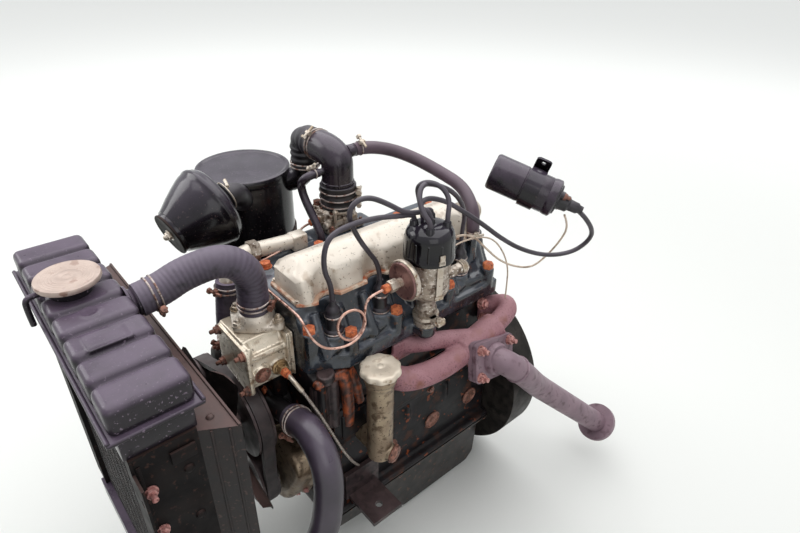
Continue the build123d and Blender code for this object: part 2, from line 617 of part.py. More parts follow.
def vacuum_unit():
    front, rear = DIST_BACK - 88, DIST_BACK - DIST_CUP_R
    reach = rear - front
    profile = [(0, 0), (5, 0), (5, 8), (8, 8), (8, 26), (6, 26), (6, 34), (12, 34), (14, 36), (VACUUM_R - 1.5, 36.5),
               (VACUUM_R, 38), (VACUUM_R, 44), (VACUUM_R - 1.5, 46), (20, 48), (10, 50), (10, reach), (0, reach)]
    return turned((DIST_X, front, VACUUM_Z), (0, 1, 0), profile)


def spark_plugs():
    tall = PLUG_TOP - PLUG_Z
    profile = [(0, 0), (13.5, 0), (13.5, 6), (11, 9), (10, 10), (10, 30), (9.4, 38), (5, 44), (5, tall), (0, tall)]
    return Compound(children=[turned((PLUG_X, y, PLUG_Z), (0, 0, 1), profile) for y in bore_backs()])


def tower(index, z):
    """A place over one of the distributor cap's four outer towers."""
    angle = radians(TOWER_TURN + 90 * index)
    return (DIST_X + TOWER_CIRCLE * cos(angle), DIST_BACK + TOWER_CIRCLE * sin(angle), z)


def plug_top(bore, z=PLUG_TOP):
    """A place over a spark plug's cover."""
    return (PLUG_X, bore_backs()[bore], z)


TOWER_TOP = DIST_CAP_Z + DIST_CAP_TALL + 9
TOWER_RISE = TOWER_TOP + 13
PLUG_RISE = PLUG_TOP + 34
WIRE_ROOT = (DIST_X - 8, DIST_BACK + 26, 372)
WIRE_POST = (DIST_X - 14, DIST_BACK + 42, 374)
LEADS = [
    [plug_top(0), plug_top(0, PLUG_RISE), (85, bore(0, -12), 401), (87, bore(0, -12), 434), (90, bore(0, -2), 457),
     (95, bore(0, 26), 468), (104, bore(0, 64), 467), tower(3, TOWER_RISE + 4), tower(3, TOWER_TOP)],
    [plug_top(1), plug_top(1, PLUG_RISE), (86, bore(1, -27), 411), (88, bore(1, -48), 446), (90, bore(1, -60), 478),
     (92, bore(1, -52), 496), (94, bore(1, -32), 496), (97, bore(1, 4), 482), tower(2, TOWER_RISE + 8),
     tower(2, TOWER_TOP)],
    [tower(1, TOWER_TOP), tower(1, TOWER_RISE + 4), (118, DIST_BACK + 34, 486), (110, DIST_BACK + 12, 500),
     (108, DIST_BACK - 10, 498), (96, DIST_BACK - 14, 480), (80, DIST_BACK + 2, 452), (77, bore(2, -10), 420),
     plug_top(2, PLUG_RISE), plug_top(2)],
    [tower(0, TOWER_TOP), tower(0, TOWER_RISE + 4), (138, DIST_BACK + 14, 490), (120, DIST_BACK + 30, 494),
     (108, bore(2, 35), 466), (98, bore(3, -18), 430), (88, bore(3, 8), 400), plug_top(3, PLUG_RISE), plug_top(3)],
]
COIL_NOSE = onwards(COIL[0], COIL[1], 20)
COIL_LEAD = [(DIST_X, DIST_BACK, TOWER_TOP + 2), (DIST_X, DIST_BACK, TOWER_TOP + 34), (130, DIST_BACK + 30, 470),
             (136, bore(2, 34), 443), (146, bore(3, -3), 399), (154, bore(3, 33), 370), (168, bore(3, 86), 339),
             (192, bore(3, 140), 328), (222, bore(3, 168), 346), (246, bore(3, 164), 386), (254, bore(3, 130), 424),
             onwards(COIL[0], COIL_NOSE, 22), COIL_NOSE]


def plug_leads():
    return Compound(children=[tube(route, LEAD_R) for route in LEADS] + [tube(COIL_LEAD, LEAD_R)])


def ignition_coil():
    first, last = place(COIL[0]), place(COIL[1])
    direction = (last - first).normalized()
    can = extrude(Plane(origin=first, z_dir=direction) * Circle(COIL_R), amount=(last - first).length)
    nose = extrude(Plane(origin=last, z_dir=direction) * Circle(11), amount=20, taper=6)
    return can + nose


def coil_bracket():
    """A band round the coil's middle, with a bolting foot on the side of the bulkhead."""
    first, last = place(COIL[0]), place(COIL[1])
    direction = (last - first).normalized()
    wall = Vector(0, 1, 0.5)
    wall = (wall - direction * wall.dot(direction)).normalized()
    plane = Plane(origin=(first + last) * 0.5, x_dir=wall.cross(direction), z_dir=direction)
    band = extrude(plane * (Circle(COIL_R + 3) - Circle(COIL_R)), amount=BAND_WIDE)
    foot = Plane(origin=plane.origin + wall * (COIL_R + 1.5) + direction * BAND_WIDE / 2, x_dir=plane.x_dir, z_dir=wall)
    holes = [Pos(side * COIL_PCD / 2, 0) * Circle(COIL_HOLE_R) for side in (-1, 1)]
    return band + extrude(foot * (RectangleRounded(COIL_PCD + 18, BAND_WIDE, 6) - holes), amount=3)


def thin_wires():
    terminal = onwards(COIL[0], COIL[1], 2)
    switch = [WIRE_POST, onwards(WIRE_ROOT, WIRE_POST, 7), (112, bore(2, 36), 388), (122, bore(3, -40), 396),
              (128, bore(3, -17), 386), (134, bore(3, 3), 362), (141, bore(3, 36), 328), (149, bore(3, 72), 306),
              (160, bore(3, 104), 298), (173, bore(3, 121), 320), (188, bore(3, 132), 354), (204, bore(3, 122), 392),
              (terminal[0] + 12, terminal[1] + 7, 428)]
    bond = [(DIST_X - 10, DIST_BACK + 32.6, 356), (DIST_X - 14, DIST_BACK + 44, 357), (110, bore(2, 42), 374),
            (122, bore(3, -14), 381), (130, bore(3, 20), 374), (136, bore(3, 46), 344), (138, bore(3, 66), 303),
            (139, bore(3, 68), 262), (139, bore(3, 68), 238)]
    return Compound(children=[tube(switch, WIRE_LEAD_R), tube(bond, 1.2)])


def copper_pipes():
    """The vacuum pipe, with one loose turn round a head bolt before it runs round the cover's front."""
    vacuum = [(DIST_X, DIST_BACK - 88, VACUUM_Z), (DIST_X, bore(0, 43), VACUUM_Z), (121, bore(0, 32), 352),
              (120, bore(0, 30), 330), (119, bore(0, 28), 302), (119, bore(0, 6), 291), (118, bore(0, -14), 310),
              (117, bore(0, -16), 332),
              (118, bore(0, -4), 347), (120, bore(0, 16), 346), (124, bore(0, 28), 332), (126, bore(0, 26), 310),
              (126, bore(0, 4), 292), (120, 17, 301), (113, -2, 325), (102, -8, 352), (88, -10, 368), (66, -1, 372),
              (4, 0, 372), (-50, 0, 370), (-76, 32, 390), (-88, 80, 386), (CARB_X - 6, 112, HEAD_TOP + 22),
              (CARB_X - 6, CARB_BACK - 42, HEAD_TOP + 22)]
    return Compound(children=[tube(vacuum, 2.2)])


def gauge_capillary():
    union = rod((58, -26, 250), (84, -26, 250), 6)
    line = tube([(84, -26, 250), (100, -25, 246), (CRANKCASE_HALF + 8, -12, 214), (CRANKCASE_HALF + 20, 6, 160),
                 (CRANKCASE_HALF + 26, 26, 100), (CRANKCASE_HALF + 22, 48, 52), (CRANKCASE_HALF + 8, 66, 22)], 2.6)
    return union + line


def oil_filler_tube():
    tall = FILLER_TOP - FILLER_FOOT
    profile = [(0, 0), (FILLER_R - 3, 0), (FILLER_R, 3), (FILLER_R, tall - 12), (FILLER_R + 5, tall - 10),
               (FILLER_R + 5, tall), (0, tall)]
    pipe = turned((FILLER_X, FILLER_BACK, FILLER_FOOT), (0, 0, 1), profile)
    foot = rod((NEAR_WALL, FILLER_BACK, FILLER_FOOT + 20), (FILLER_X, FILLER_BACK, FILLER_FOOT + 20), FILLER_NECK_R)
    boss = (FILLER_X + 23, FILLER_BACK + 9, FILLER_FOOT + 15)
    pipe += rod((FILLER_X, FILLER_BACK, FILLER_FOOT + 18), boss, 14)
    return pipe + foot + rod(boss, onwards((FILLER_X, FILLER_BACK, FILLER_FOOT + 18), boss, 8), 16)


def oil_filler_cap():
    """A cap with ten shallow finger flutes."""
    radius, flute = 31, 6
    cap = round_boss(FILLER_X, FILLER_BACK, FILLER_TOP, FILLER_TOP + 16, radius)
    cap = chamfer(cap.edges().filter_by(GeomType.CIRCLE).sort_by(Axis.Z)[-1], 3)
    for index in range(10):
        angle = 2 * pi * index / 10
        reach = radius + flute - 1.4
        cap -= round_boss(FILLER_X + reach * cos(angle), FILLER_BACK + reach * sin(angle), FILLER_TOP - 1,
                          FILLER_TOP + 17, flute)
    return cap


def oil_filter():
    x, y = FAR_WALL - 50, bore(2, 12)
    bowl = [(0, 0), (14, 0), (34, 4), (40, 14), (40, 128), (42, 129), (42, 136), (0, 136)]
    return turned((x, y, 66), (0, 0, 1), bowl) + block((x - 20, FAR_WALL), (y - 18, y + 18), (202, 224))


def breather_hose():
    """The breather hose over the engine to the head's rear, and the cover's vent tube up to the elbow."""
    hose = [(CARB_X, CARB_BACK + ELBOW_R + 8, SPIGOT_Z), (CARB_X, CARB_BACK + 60, SPIGOT_Z), (-86, bore(3, -12), 466),
            (-58, bore(3, 22), 449), (-18, bore(3, 46), 430), (28, bore(3, 54), 418), (66, bore(3, 42), 396),
            (78, bore(3, 34), 372), (78, bore(3, 34), HEAD_TOP + 1)]
    vent = [(-74, bore(1, 1), HEAD_TOP), (-74, bore(1, 1), HEAD_TOP + 14), (-128, bore(1, -3), 424),
            (VENT_END[0], VENT_END[1] - 26, VENT_END[2]), VENT_END]
    return Compound(children=[tube(hose, SPIGOT_R), tube(vent, VENT_R)])


def breather_filter():
    """A ribbed filter that looks back from the rocker cover's rear face."""
    rear = COVER_BACK + COVER_LENGTH
    profile = [(0, 0), (13, 0), (13, 10)]
    for ridge in range(4):
        profile += [(21, 12 + 9 * ridge), (21, 17 + 9 * ridge), (18, 19 + 9 * ridge)]
    return turned((32, rear, 368), (0, 1, 0), profile + [(18, 48), (0, 48)])


def dynamo():
    y_low, y_high = -40, 152
    reach = y_high - y_low
    profile = [(0, 0), (34, 0), (46, 3), (DYNAMO_R, 8), (DYNAMO_R, 21), (48.5, 22), (48.5, 25), (49.5, 26),
               (49.5, reach - 33), (48.5, reach - 32), (48.5, reach - 30), (DYNAMO_R, reach - 29),
               (DYNAMO_R, reach - 8), (44, reach), (0, reach)]
    body = turned((DYNAMO_X, y_low, DYNAMO_Z), (0, 1, 0), profile)
    body += hull_across([(DYNAMO_X, DYNAMO_Z, 20), (DYNAMO_X + 6, DYNAMO_Z + 64, 9)], -36, -28)
    for low in (-36, 138):
        body += hull_across([(DYNAMO_X, DYNAMO_Z, 20), (DYNAMO_X + 8, DYNAMO_Z - 62, 10)], low, low + 12)
    return body - rod((DYNAMO_X, y_low - 1, DYNAMO_Z), (DYNAMO_X, y_low + 40, DYNAMO_Z), 8 + RUN)


def dynamo_bracket():
    strap = hull_across([(-62, 196, 9), (DYNAMO_X + 6, DYNAMO_Z + 64, 9)], -28, -23)
    strap += rod((-62, -23, 196), (-62, 0, 196), 9)
    shelf = block((DYNAMO_X, -CRANKCASE_HALF), (-20, 134), (DYNAMO_Z - 70, DYNAMO_Z - 54))
    shelf += block((-CRANKCASE_HALF - 8, -CRANKCASE_HALF), (0, 134), (12, DYNAMO_Z - 54))
    return Compound(children=[strap, shelf])


def dynamo_pulley():
    middle = BELT_PLANE
    wheel = pulley(DYNAMO_PULLEY_R, (DYNAMO_X, DYNAMO_Z))
    wheel += rod((DYNAMO_X, middle + BELT_WIDTH / 2, DYNAMO_Z), (DYNAMO_X, -2, DYNAMO_Z), 8)
    return wheel


def pulley(radius, centre):
    """A flat-bottomed belt pulley about the Y axis through an (x, z) centre."""
    x, z = centre
    half = BELT_WIDTH / 2 + 1
    low, high = BELT_PLANE - half - RIM_THICK, BELT_PLANE + half + RIM_THICK
    wheel = rod((x, low, z), (x, high, z), radius + RIM_STEP)
    groove = rod((x, BELT_PLANE - half, z), (x, BELT_PLANE + half, z), radius + RIM_STEP + 1, radius - 2 * SEAT)
    return wheel - groove


def crank_pulley():
    wheel = pulley(CRANK_PULLEY_R, (0, 0))
    return wheel + rod((0, BELT_PLANE - 26, 0), (0, BELT_PLANE - 10, 0), 18)


def crankshaft():
    nose = rod((0, BELT_PLANE + BELT_WIDTH / 2 + 1 + RIM_THICK, 0), (0, BLOCK_LENGTH + 16, 0), CRANK_SHAFT_R)
    flange = rod((0, BLOCK_LENGTH + 16, 0), (0, BLOCK_LENGTH + 22, 0), 50)
    return nose + flange


def flywheel():
    wheel = rod((0, BLOCK_LENGTH + 22, 0), (0, BLOCK_LENGTH + 48, 0), FLYWHEEL_R)
    wheel -= rod((0, BLOCK_LENGTH + 38, 0), (0, BLOCK_LENGTH + 49, 0), FLYWHEEL_R - 34)
    return wheel


def pump_pulley():
    wheel = pulley(PUMP_PULLEY_R, (0, PUMP_Z))
    wheel += rod((0, BELT_PLANE - 22, PUMP_Z), (0, -24, PUMP_Z), 12)
    return wheel


def fan():
    """Four pressed blades, each a shallow arc set at an angle on the hub."""
    hub = rod((0, FAN_BACK - 4, PUMP_Z), (0, BELT_PLANE - 22, PUMP_Z), 34)
    curve = BLADE_CHORD * 1.1
    arc = (Circle(curve) - Circle(curve - BLADE_THICK)) & (Pos(0, curve) * Rectangle(BLADE_CHORD, curve))
    for index in range(BLADES):
        turn = Pos(0, back(FAN_BACK), PUMP_Z) * Rot(0, 360 * index / BLADES + 20, 0)
        root = turn * Pos(0, 0, 20) * Rot(0, 0, BLADE_ANGLE)
        hub += root * Pos(0, -curve + 4, 0) * extrude(arc, amount=FAN_R - 20)
    return hub


def drive_belt():
    runs = [(0, 0, CRANK_PULLEY_R), (0, PUMP_Z, PUMP_PULLEY_R), (DYNAMO_X, DYNAMO_Z, DYNAMO_PULLEY_R)]
    low, high = BELT_PLANE - BELT_WIDTH / 2, BELT_PLANE + BELT_WIDTH / 2
    outer = hull_across([(x, z, radius + BELT_THICK) for x, z, radius in runs], low, high)
    inner = hull_across([(x, z, radius) for x, z, radius in runs], low - 1, high + 1)
    return outer - inner


def starter_motor():
    long, r = 190, STARTER_R
    profile = [(0, 0), (22, 0), (24, 2), (r - 3, 3), (r, 8), (r, 36), (r - 1.5, 37), (r - 1.5, 40), (r, 41), (r, long),
               (0, long)]
    return turned((STARTER_X, BLOCK_LENGTH - long, STARTER_Z), (0, 1, 0), profile)


def engine_feet():
    feet = []
    for side in (-1, 1):
        low, high = sorted((side * CRANKCASE_HALF, side * (CRANKCASE_HALF + 8)))
        plate = block((low, high), (40, 110), (-50, 10))
        low, high = sorted((side * CRANKCASE_HALF, side * 190))
        foot = block((low, high), (45, 105), (-50, -42))
        foot -= round_boss(side * 165, 75, -60, -30, 6.5)
        feet.append(plate + foot)
    return Compound(children=feet)


def header_tank():
    """A pressed tank of rounded panels with notched valleys between them, on a lip over the core."""
    half = TANK_DEPTH / 2
    body = block((-TANK_HALF + 3, TANK_HALF - 3), (RAD_BACK - half + 4, RAD_BACK + half - 4), (TANK_SEAM - 1, TANK_TOP - 7))
    pitch = 2 * TANK_HALF / TANK_PANELS
    for index in range(TANK_PANELS):
        middle = -TANK_HALF + (index + 0.5) * pitch
        low = -TANK_HALF if index == 0 else middle - pitch * 0.45
        high = TANK_HALF if index == TANK_PANELS - 1 else middle + pitch * 0.45
        panel = block((low, high), (RAD_BACK - half, RAD_BACK + half), (TANK_SEAM - 1, TANK_TOP))
        body += fillet(panel.edges().filter_by(lambda edge: edge.center().Z > TANK_SEAM), 7)
    body += block((-TANK_HALF - 6, TANK_HALF + 6), (RAD_BACK - half - 6, RAD_BACK + half + 6), (TANK_SEAM - 6, TANK_SEAM))
    body += block((-TANK_HALF + 4, TANK_HALF - 4), (RAD_BACK - half + 6, RAD_BACK + half - 6), (TANK_FLOOR, TANK_SEAM - 6))
    body += round_boss(CAP_X, CAP_BACK, TANK_TOP - 4, TANK_TOP + 14, 24)
    body += rod((TANK_OUTLET_X, RAD_BACK + half - 12, TANK_OUTLET_Z), (TANK_OUTLET_X, -152, TANK_OUTLET_Z),
                HOSE_R - HOSE_WALL - 0.2)
    return body


def radiator_cap():
    cap = round_boss(CAP_X, CAP_BACK, TANK_TOP + 14, TANK_TOP + 22, CAP_R)
    return chamfer(cap.edges().filter_by(GeomType.CIRCLE).sort_by(Axis.Z)[-1], 3)


def radiator_core():
    """The core's block, with the gaps between its banks of tubes sunk in both faces."""
    front, rear = RAD_BACK - CORE_DEPTH / 2, RAD_BACK + CORE_DEPTH / 2
    core = block((-CORE_HALF, CORE_HALF), (front, rear), (CORE_FLOOR, TANK_FLOOR))
    pitch = 2 * CORE_HALF / CORE_BANKS
    for index in range(1, CORE_BANKS):
        x = -CORE_HALF + index * pitch
        for low, high in ((front - 1, front + CORE_GAP_DEEP), (rear - CORE_GAP_DEEP, rear + 1)):
            core -= block((x - CORE_GAP / 2, x + CORE_GAP / 2), (low, high), (CORE_FLOOR + 8, TANK_FLOOR - 8))
    return core


def bottom_tank():
    half = TANK_DEPTH / 2 - 4
    body = block((-TANK_HALF + 6, TANK_HALF - 6), (RAD_BACK - half, RAD_BACK + half), (RAD_FLOOR, CORE_FLOOR))
    body = fillet(body.edges().filter_by(Axis.X).sort_by(Axis.Z)[:2], 16)
    return body + rod((150, RAD_BACK + half - 14, -68), (150, -156, -68), HOSE_R - HOSE_WALL - 0.2)


def radiator_frame():
    sides = []
    for side in (-1, 1):
        low, high = sorted((side * CORE_HALF, side * COLUMN_HALF))
        column = block((low, high), (RAD_BACK - 36, RAD_BACK + 36), (CORE_FLOOR, TANK_FLOOR))
        low, high = sorted((side * COLUMN_HALF, side * (COLUMN_HALF + 26)))
        flange = block((low, high), (RAD_BACK - 36, RAD_BACK - 33), (CORE_FLOOR, TANK_FLOOR - 20))
        for z in (20, 160, 300):
            flange -= rod((side * (COLUMN_HALF + 14), RAD_BACK - 40, z), (side * (COLUMN_HALF + 14), RAD_BACK - 30, z), 4.5)
        sides.append(column + flange)
    return Compound(children=sides)


def fan_cowl():
    front, rear = RAD_BACK + 36, COWL_BACK
    middle_z = (TANK_FLOOR - 4 + CORE_FLOOR) / 2
    height = TANK_FLOOR - 4 - CORE_FLOOR

    def section(y, half, tall):
        return Plane(origin=(0, back(y), middle_z), x_dir=(1, 0, 0), z_dir=(0, -1, 0)) * Rectangle(2 * half, tall)

    outer = loft([section(front, COLUMN_HALF, height), section(rear, COWL_HALF, height)])
    inner = loft([section(front - 1, COLUMN_HALF - SHEET, height - 2 * SHEET),
                  section(rear - SHEET, COWL_HALF - SHEET, height - 2 * SHEET)])
    shell = outer - inner
    return shell - rod((0, rear - 5, PUMP_Z), (0, rear + 5, PUMP_Z), COWL_HOLE_R)


PARTS = {
    "cylinder_block": cylinder_block,
    "sump": sump,
    "timing_cover": timing_cover,
    "flywheel_housing": flywheel_housing,
    "cylinder_head": cylinder_head,
    "rocker_cover": rocker_cover,
    "valve_side_cover": valve_side_cover,
    "exhaust_manifold": exhaust_manifold,
    "exhaust_front_pipe": exhaust_front_pipe,
    "carburettor": carburettor,
    "air_elbow": air_elbow,
    "intake_hoses": intake_hoses,
    "air_cleaner": air_cleaner,
    "pre_cleaner": pre_cleaner,
    "air_cleaner_bracket": air_cleaner_bracket,
    "thermostat_housing": thermostat_housing,
    "thermostat_outlet": thermostat_outlet,
    "water_pump": water_pump,
    "coolant_hoses": coolant_hoses,
    "hose_clips": hose_clips,
    "heater_pipe": heater_pipe,
    "distributor_body": distributor_body,
    "distributor_cap": distributor_cap,
    "vacuum_unit": vacuum_unit,
    "spark_plugs": spark_plugs,
    "plug_leads": plug_leads,
    "ignition_coil": ignition_coil,
    "coil_bracket": coil_bracket,
    "thin_wires": thin_wires,
    "copper_pipes": copper_pipes,
    "gauge_capillary": gauge_capillary,
    "oil_filler_tube": oil_filler_tube,
    "oil_filler_cap": oil_filler_cap,
    "oil_filter": oil_filter,
    "breather_hose": breather_hose,
    "breather_filter": breather_filter,
    "dynamo": dynamo,
    "dynamo_bracket": dynamo_bracket,
    "starter_motor": starter_motor,
    "engine_feet": engine_feet,
    "drive_belt": drive_belt,
    "radiator_frame": radiator_frame,
    "header_tank": header_tank,
    "bottom_tank": bottom_tank,
    "radiator_core": radiator_core,
    "fan_cowl": fan_cowl,
    "radiator_cap": radiator_cap,
    "crankshaft": crankshaft,
    "crank_pulley": crank_pulley,
    "flywheel": flywheel,
    "fan": fan,
    "pump_pulley": pump_pulley,
    "dynamo_pulley": dynamo_pulley,
}


os.makedirs("parts", exist_ok=True)
for name, make in PARTS.items():
    export_step(make(), f"parts/{name}.step")
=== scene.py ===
"""Dresses the petrol engine unit: castings, sheet metal, hoses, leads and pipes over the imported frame."""
from math import cos, pi, radians, sin

import bmesh
import bpy
from mathutils import Matrix, Vector


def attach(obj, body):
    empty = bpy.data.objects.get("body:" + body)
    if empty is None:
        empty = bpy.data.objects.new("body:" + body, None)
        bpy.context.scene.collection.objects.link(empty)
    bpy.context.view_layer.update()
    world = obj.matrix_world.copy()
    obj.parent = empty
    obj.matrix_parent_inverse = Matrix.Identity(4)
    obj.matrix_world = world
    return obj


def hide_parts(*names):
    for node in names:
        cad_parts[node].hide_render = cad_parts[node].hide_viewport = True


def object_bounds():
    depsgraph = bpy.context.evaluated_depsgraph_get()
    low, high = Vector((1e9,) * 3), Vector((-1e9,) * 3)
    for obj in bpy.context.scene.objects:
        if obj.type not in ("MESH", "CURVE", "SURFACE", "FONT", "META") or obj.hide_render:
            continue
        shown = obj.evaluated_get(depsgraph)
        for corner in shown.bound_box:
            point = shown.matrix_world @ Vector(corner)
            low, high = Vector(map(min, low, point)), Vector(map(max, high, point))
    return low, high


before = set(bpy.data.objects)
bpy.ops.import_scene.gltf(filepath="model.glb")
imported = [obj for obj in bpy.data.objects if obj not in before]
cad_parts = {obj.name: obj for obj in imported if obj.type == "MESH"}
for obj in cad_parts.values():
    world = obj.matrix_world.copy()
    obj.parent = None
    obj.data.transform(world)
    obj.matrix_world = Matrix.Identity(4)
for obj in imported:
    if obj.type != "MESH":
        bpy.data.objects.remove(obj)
cad_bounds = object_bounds()
scene = bpy.context.scene

# Places are written in millimetres as (x, d, z): d counts back from the cylinder block's front face.
# A pair is (x, d) of something upright, (d, z) on the near side (SENDER, PLUG_HOLE), or (x, z) of something
# that points back (THERMOSTAT_CORNERS, DYNAMO, STARTER).
BLOCK_FRONT = -460.0
BORES = (54.0, 141.0, 228.0, 315.0)
PLUG_X = 84.0
PLUG_TOP = 338.0
DIST = (124.0, 202.0)
CAP_Z = 385.0
VACUUM_Z = 361.0
CARB = (-98.0, 196.0)
CLEANER = (-268.0, 108.0)
FILLER = (150.0, 89.0)
LOG_X = 150.0
PORT_Z = 182.0
PUMP_Z = 134.0
DIST_BASE = 262.0
PLUG_SEAT = 292.0
CAPSULE_START = DIST[1] - 88
BREATHER = (78.0, 349.0)
DYNAMO = (-155.0, 98.0)
STARTER = (-172.0, -18.0)
WATER_OUTLET = (10.0, -31.0)
SENDER = (-26.0, 250.0)
PLUG_HOLE = (-54.0, 250.0)
THERMOSTAT_CORNERS = ((-22, 236), (52, 228), (52, 292), (-24, 294))
OUTLET_HOLES = ((-22, -46), (42, -12), (10, -60))
FILLER_NECK = (-40.0, -238.0)
TANK_HALF = 191
TANK_PANELS = 8
CORE_HALF = 168
CORE_BANKS = 10
FINS = 77
FIN_PITCH = 5.04
SIDE_FACE = 190.2
CORE_PLUG_BACKS = (140, 245, 345)
CORE_PLUG_FACE = 113
CORE_PLUG_Z = 4
FAR_PLUG_FACE = -91
FAR_PLUG_Z = 180
HEAD_BOLT_BACKS = (24, 122, 290, 366)
FAR_BOLT_X = -52
LIP_TOP = 349.6
CANISTER_BASE = 236
PUMP_BOLT_CIRCLE = 34
FAN_BOLT_CIRCLE = 22
FLYWHEEL_BOLT_CIRCLE = 32
FAN_TURN = 20
BLADE_PITCH = 28
UP, BACK, FRONT, NEAR = (0, 0, 1), (0, 1, 0), (0, -1, 0), (1, 0, 0)


def bore(number, offset=0.0):
    """How far back a place is that lies behind a bore's middle by an offset."""
    return BORES[number] + offset


def spot(place):
    """A place in the row's metres."""
    return Vector((place[0], place[1] + BLOCK_FRONT, place[2])) / 1000


# ---------------------------------------------------------------- finishes

def linear(code):
    """An sRGB hex colour as the linear numbers that a shader takes."""
    parts = [int(code[i:i + 2], 16) / 255 for i in (1, 3, 5)]
    return [*(c / 12.92 if c <= 0.04045 else ((c + 0.055) / 1.055) ** 2.4 for c in parts), 1.0]


def add(tree, kind, inputs=None, **settings):
    """Adds a node with its settings, values and links."""
    node = tree.nodes.new(kind)
    for key, value in settings.items():
        setattr(node, key, value)
    for key, value in (inputs or {}).items():
        if isinstance(value, bpy.types.NodeSocket):
            tree.links.new(value, node.inputs[key])
        else:
            node.inputs[key].default_value = value
    return node


def surface(name, colour, tints=(), roughness=0.5, uneven=0.12, metal=0.0, grain=(), coat=0.0, dust_and_painted_sheen=None,
        wraps=None, sheen=None, shine=0.5):
    """A worn finish: a base colour, blotches of other colours (hex, size in mm, share, softness),
    surface grain (size in mm, depth in mm), and a lighter colour (hex, amount) where it faces up, which is
    settled dust on some finishes and a painted highlight of the sky on others. Grain that is too
    fine to show is drawn coarser than life.
    wraps is the pitch and depth in mm of marks across a hose; sheen is (hex, amount) of bloom on rubber;
    shine is the specular level, low where soot or oil has dulled the gloss."""
    material = bpy.data.materials.new(name)
    material.use_nodes = True
    tree = material.node_tree
    tree.nodes.clear()
    where = add(tree, "ShaderNodeTexCoord").outputs["Object"]
    shade = add(tree, "ShaderNodeRGB").outputs[0]
    shade.default_value = linear(colour)
    for hexes, size, share, soft in tints:
        blotch = add(tree, "ShaderNodeTexNoise", {"Vector": where, "Scale": 1000 / size, "Detail": 3.0,
            "Roughness": 0.5})
        # The noise gathers round 0.5, and about this share of it lies past the edge.
        edge = 0.5 + 0.34 * (0.5 - share)
        amount = add(tree, "ShaderNodeMapRange", {"Value": blotch.outputs["Fac"], "From Min": edge - soft,
            "From Max": edge + soft}).outputs[0]
        shade = add(tree, "ShaderNodeMix", {0: amount, 6: shade, 7: linear(hexes)},
            data_type="RGBA").outputs[2]
    patchy = add(tree, "ShaderNodeTexNoise", {"Vector": where, "Scale": 1000 / 26, "Detail": 3.0,
        "Roughness": 0.5}).outputs["Fac"]
    gloss = add(tree, "ShaderNodeMapRange", {"Value": patchy, "From Min": 0.3, "From Max": 0.7,
        "To Min": max(0.03, roughness - uneven), "To Max": min(1.0, roughness + uneven)}).outputs[0]
    # What faces up takes a lighter colour: settled dust on some finishes, a painted highlight on others.
    if dust_and_painted_sheen:
        normal = add(tree, "ShaderNodeNewGeometry").outputs["Normal"]
        facing_up = add(tree, "ShaderNodeSeparateXYZ", {0: normal}).outputs["Z"]
        upward_dust_and_sheen = add(tree, "ShaderNodeMapRange", {"Value": facing_up, "From Min": 0.1, "From Max": 1.0,
            "To Max": dust_and_painted_sheen[1]}).outputs[0]
        broken = add(tree, "ShaderNodeMapRange", {"Value": patchy, "From Min": 0.2, "From Max": 0.6,
            "To Min": 0.6}).outputs[0]
        patchy_dust_and_sheen = add(tree, "ShaderNodeMath", {0: upward_dust_and_sheen, 1: broken}, operation="MULTIPLY").outputs[0]
        shade = add(tree, "ShaderNodeMix", {0: patchy_dust_and_sheen, 6: shade, 7: linear(dust_and_painted_sheen[0])},
            data_type="RGBA").outputs[2]
    reliefs = []
    for size, depth in grain:
        rough = add(tree, "ShaderNodeTexNoise", {"Vector": where, "Scale": 1000 / size, "Detail": 2.0})
        reliefs.append((rough.outputs["Fac"], depth))
    if wraps:
        along = add(tree, "ShaderNodeAttribute", attribute_name="along").outputs["Fac"]
        turn = add(tree, "ShaderNodeMath", {0: along, 1: 2 * pi * 1000 / wraps[0]},
            operation="MULTIPLY").outputs[0]
        reliefs.append((add(tree, "ShaderNodeMath", {0: turn}, operation="SINE").outputs[0], wraps[1]))
    bump = None
    for height, depth in reliefs:
        links = {"Height": height, "Distance": depth / 1000, "Strength": 1.0}
        if bump:
            links["Normal"] = bump
        bump = add(tree, "ShaderNodeBump", links).outputs[0]
    sockets = {"Base Color": shade, "Roughness": gloss, "Metallic": metal, "Coat Weight": coat,
        "Coat Roughness": 0.12, "Specular IOR Level": shine}
    if sheen:
        sockets.update({"Sheen Weight": sheen[1], "Sheen Tint": linear(sheen[0]), "Sheen Roughness": 0.4})
    if bump:
        sockets["Normal"] = bump
    shader = add(tree, "ShaderNodeBsdfPrincipled", sockets)
    add(tree, "ShaderNodeOutputMaterial", {"Surface": shader.outputs[0]})
    return material


# Black stoving enamel on pressed sheet, some years old: satin, with a painted mauve sheen of the sky where it
# faces up.
TANK_ENAMEL = surface("tank_stoving_enamel", "#171318", [("#241e25", 70, 0.5, 0.14),
    ("#6b5f6c", 3.5, 0.02, 0.02)], 0.34, 0.08, 0.0, [(20, 0.25), (2.4, 0.03)], 0.15, ("#66586a", 0.75),
    shine=0.25)
# Black enamel on spun and rolled sheet, kept glossier; its upper sides carry a painted reflection of the sky.
BLACK_ENAMEL = surface("gloss_black_enamel", "#0b090b", [("#151216", 60, 0.4, 0.14),
    ("#3c3030", 4, 0.02, 0.02)], 0.20, 0.06, 0.0, [(30, 0.2)], 0.25, ("#5a5060", 0.5), shine=0.25)
# Black enamel on the coil's rolled can and on the elbow: satin, mauve all round, with a painted highlight
# where it faces up.
MAUVE_ENAMEL = surface("satin_black_enamel", "#1f1820", [("#2b222c", 40, 0.45, 0.12),
    ("#131014", 16, 0.2, 0.06)], 0.27, 0.06, 0.05, [(18, 0.12)], 0.2, ("#6d6070", 0.45), shine=0.3)
# Chassis black on folded plate, dull, with brown road dirt on what faces up.
DULL_BLACK = surface("dull_chassis_black", "#0b0809", [("#171110", 34, 0.42, 0.12),
    ("#33211c", 7, 0.04, 0.04)], 0.58, 0.10, 0.0, [(9, 0.12), (1.4, 0.03)], 0.0, ("#4d3d3a", 0.7), shine=0.12)
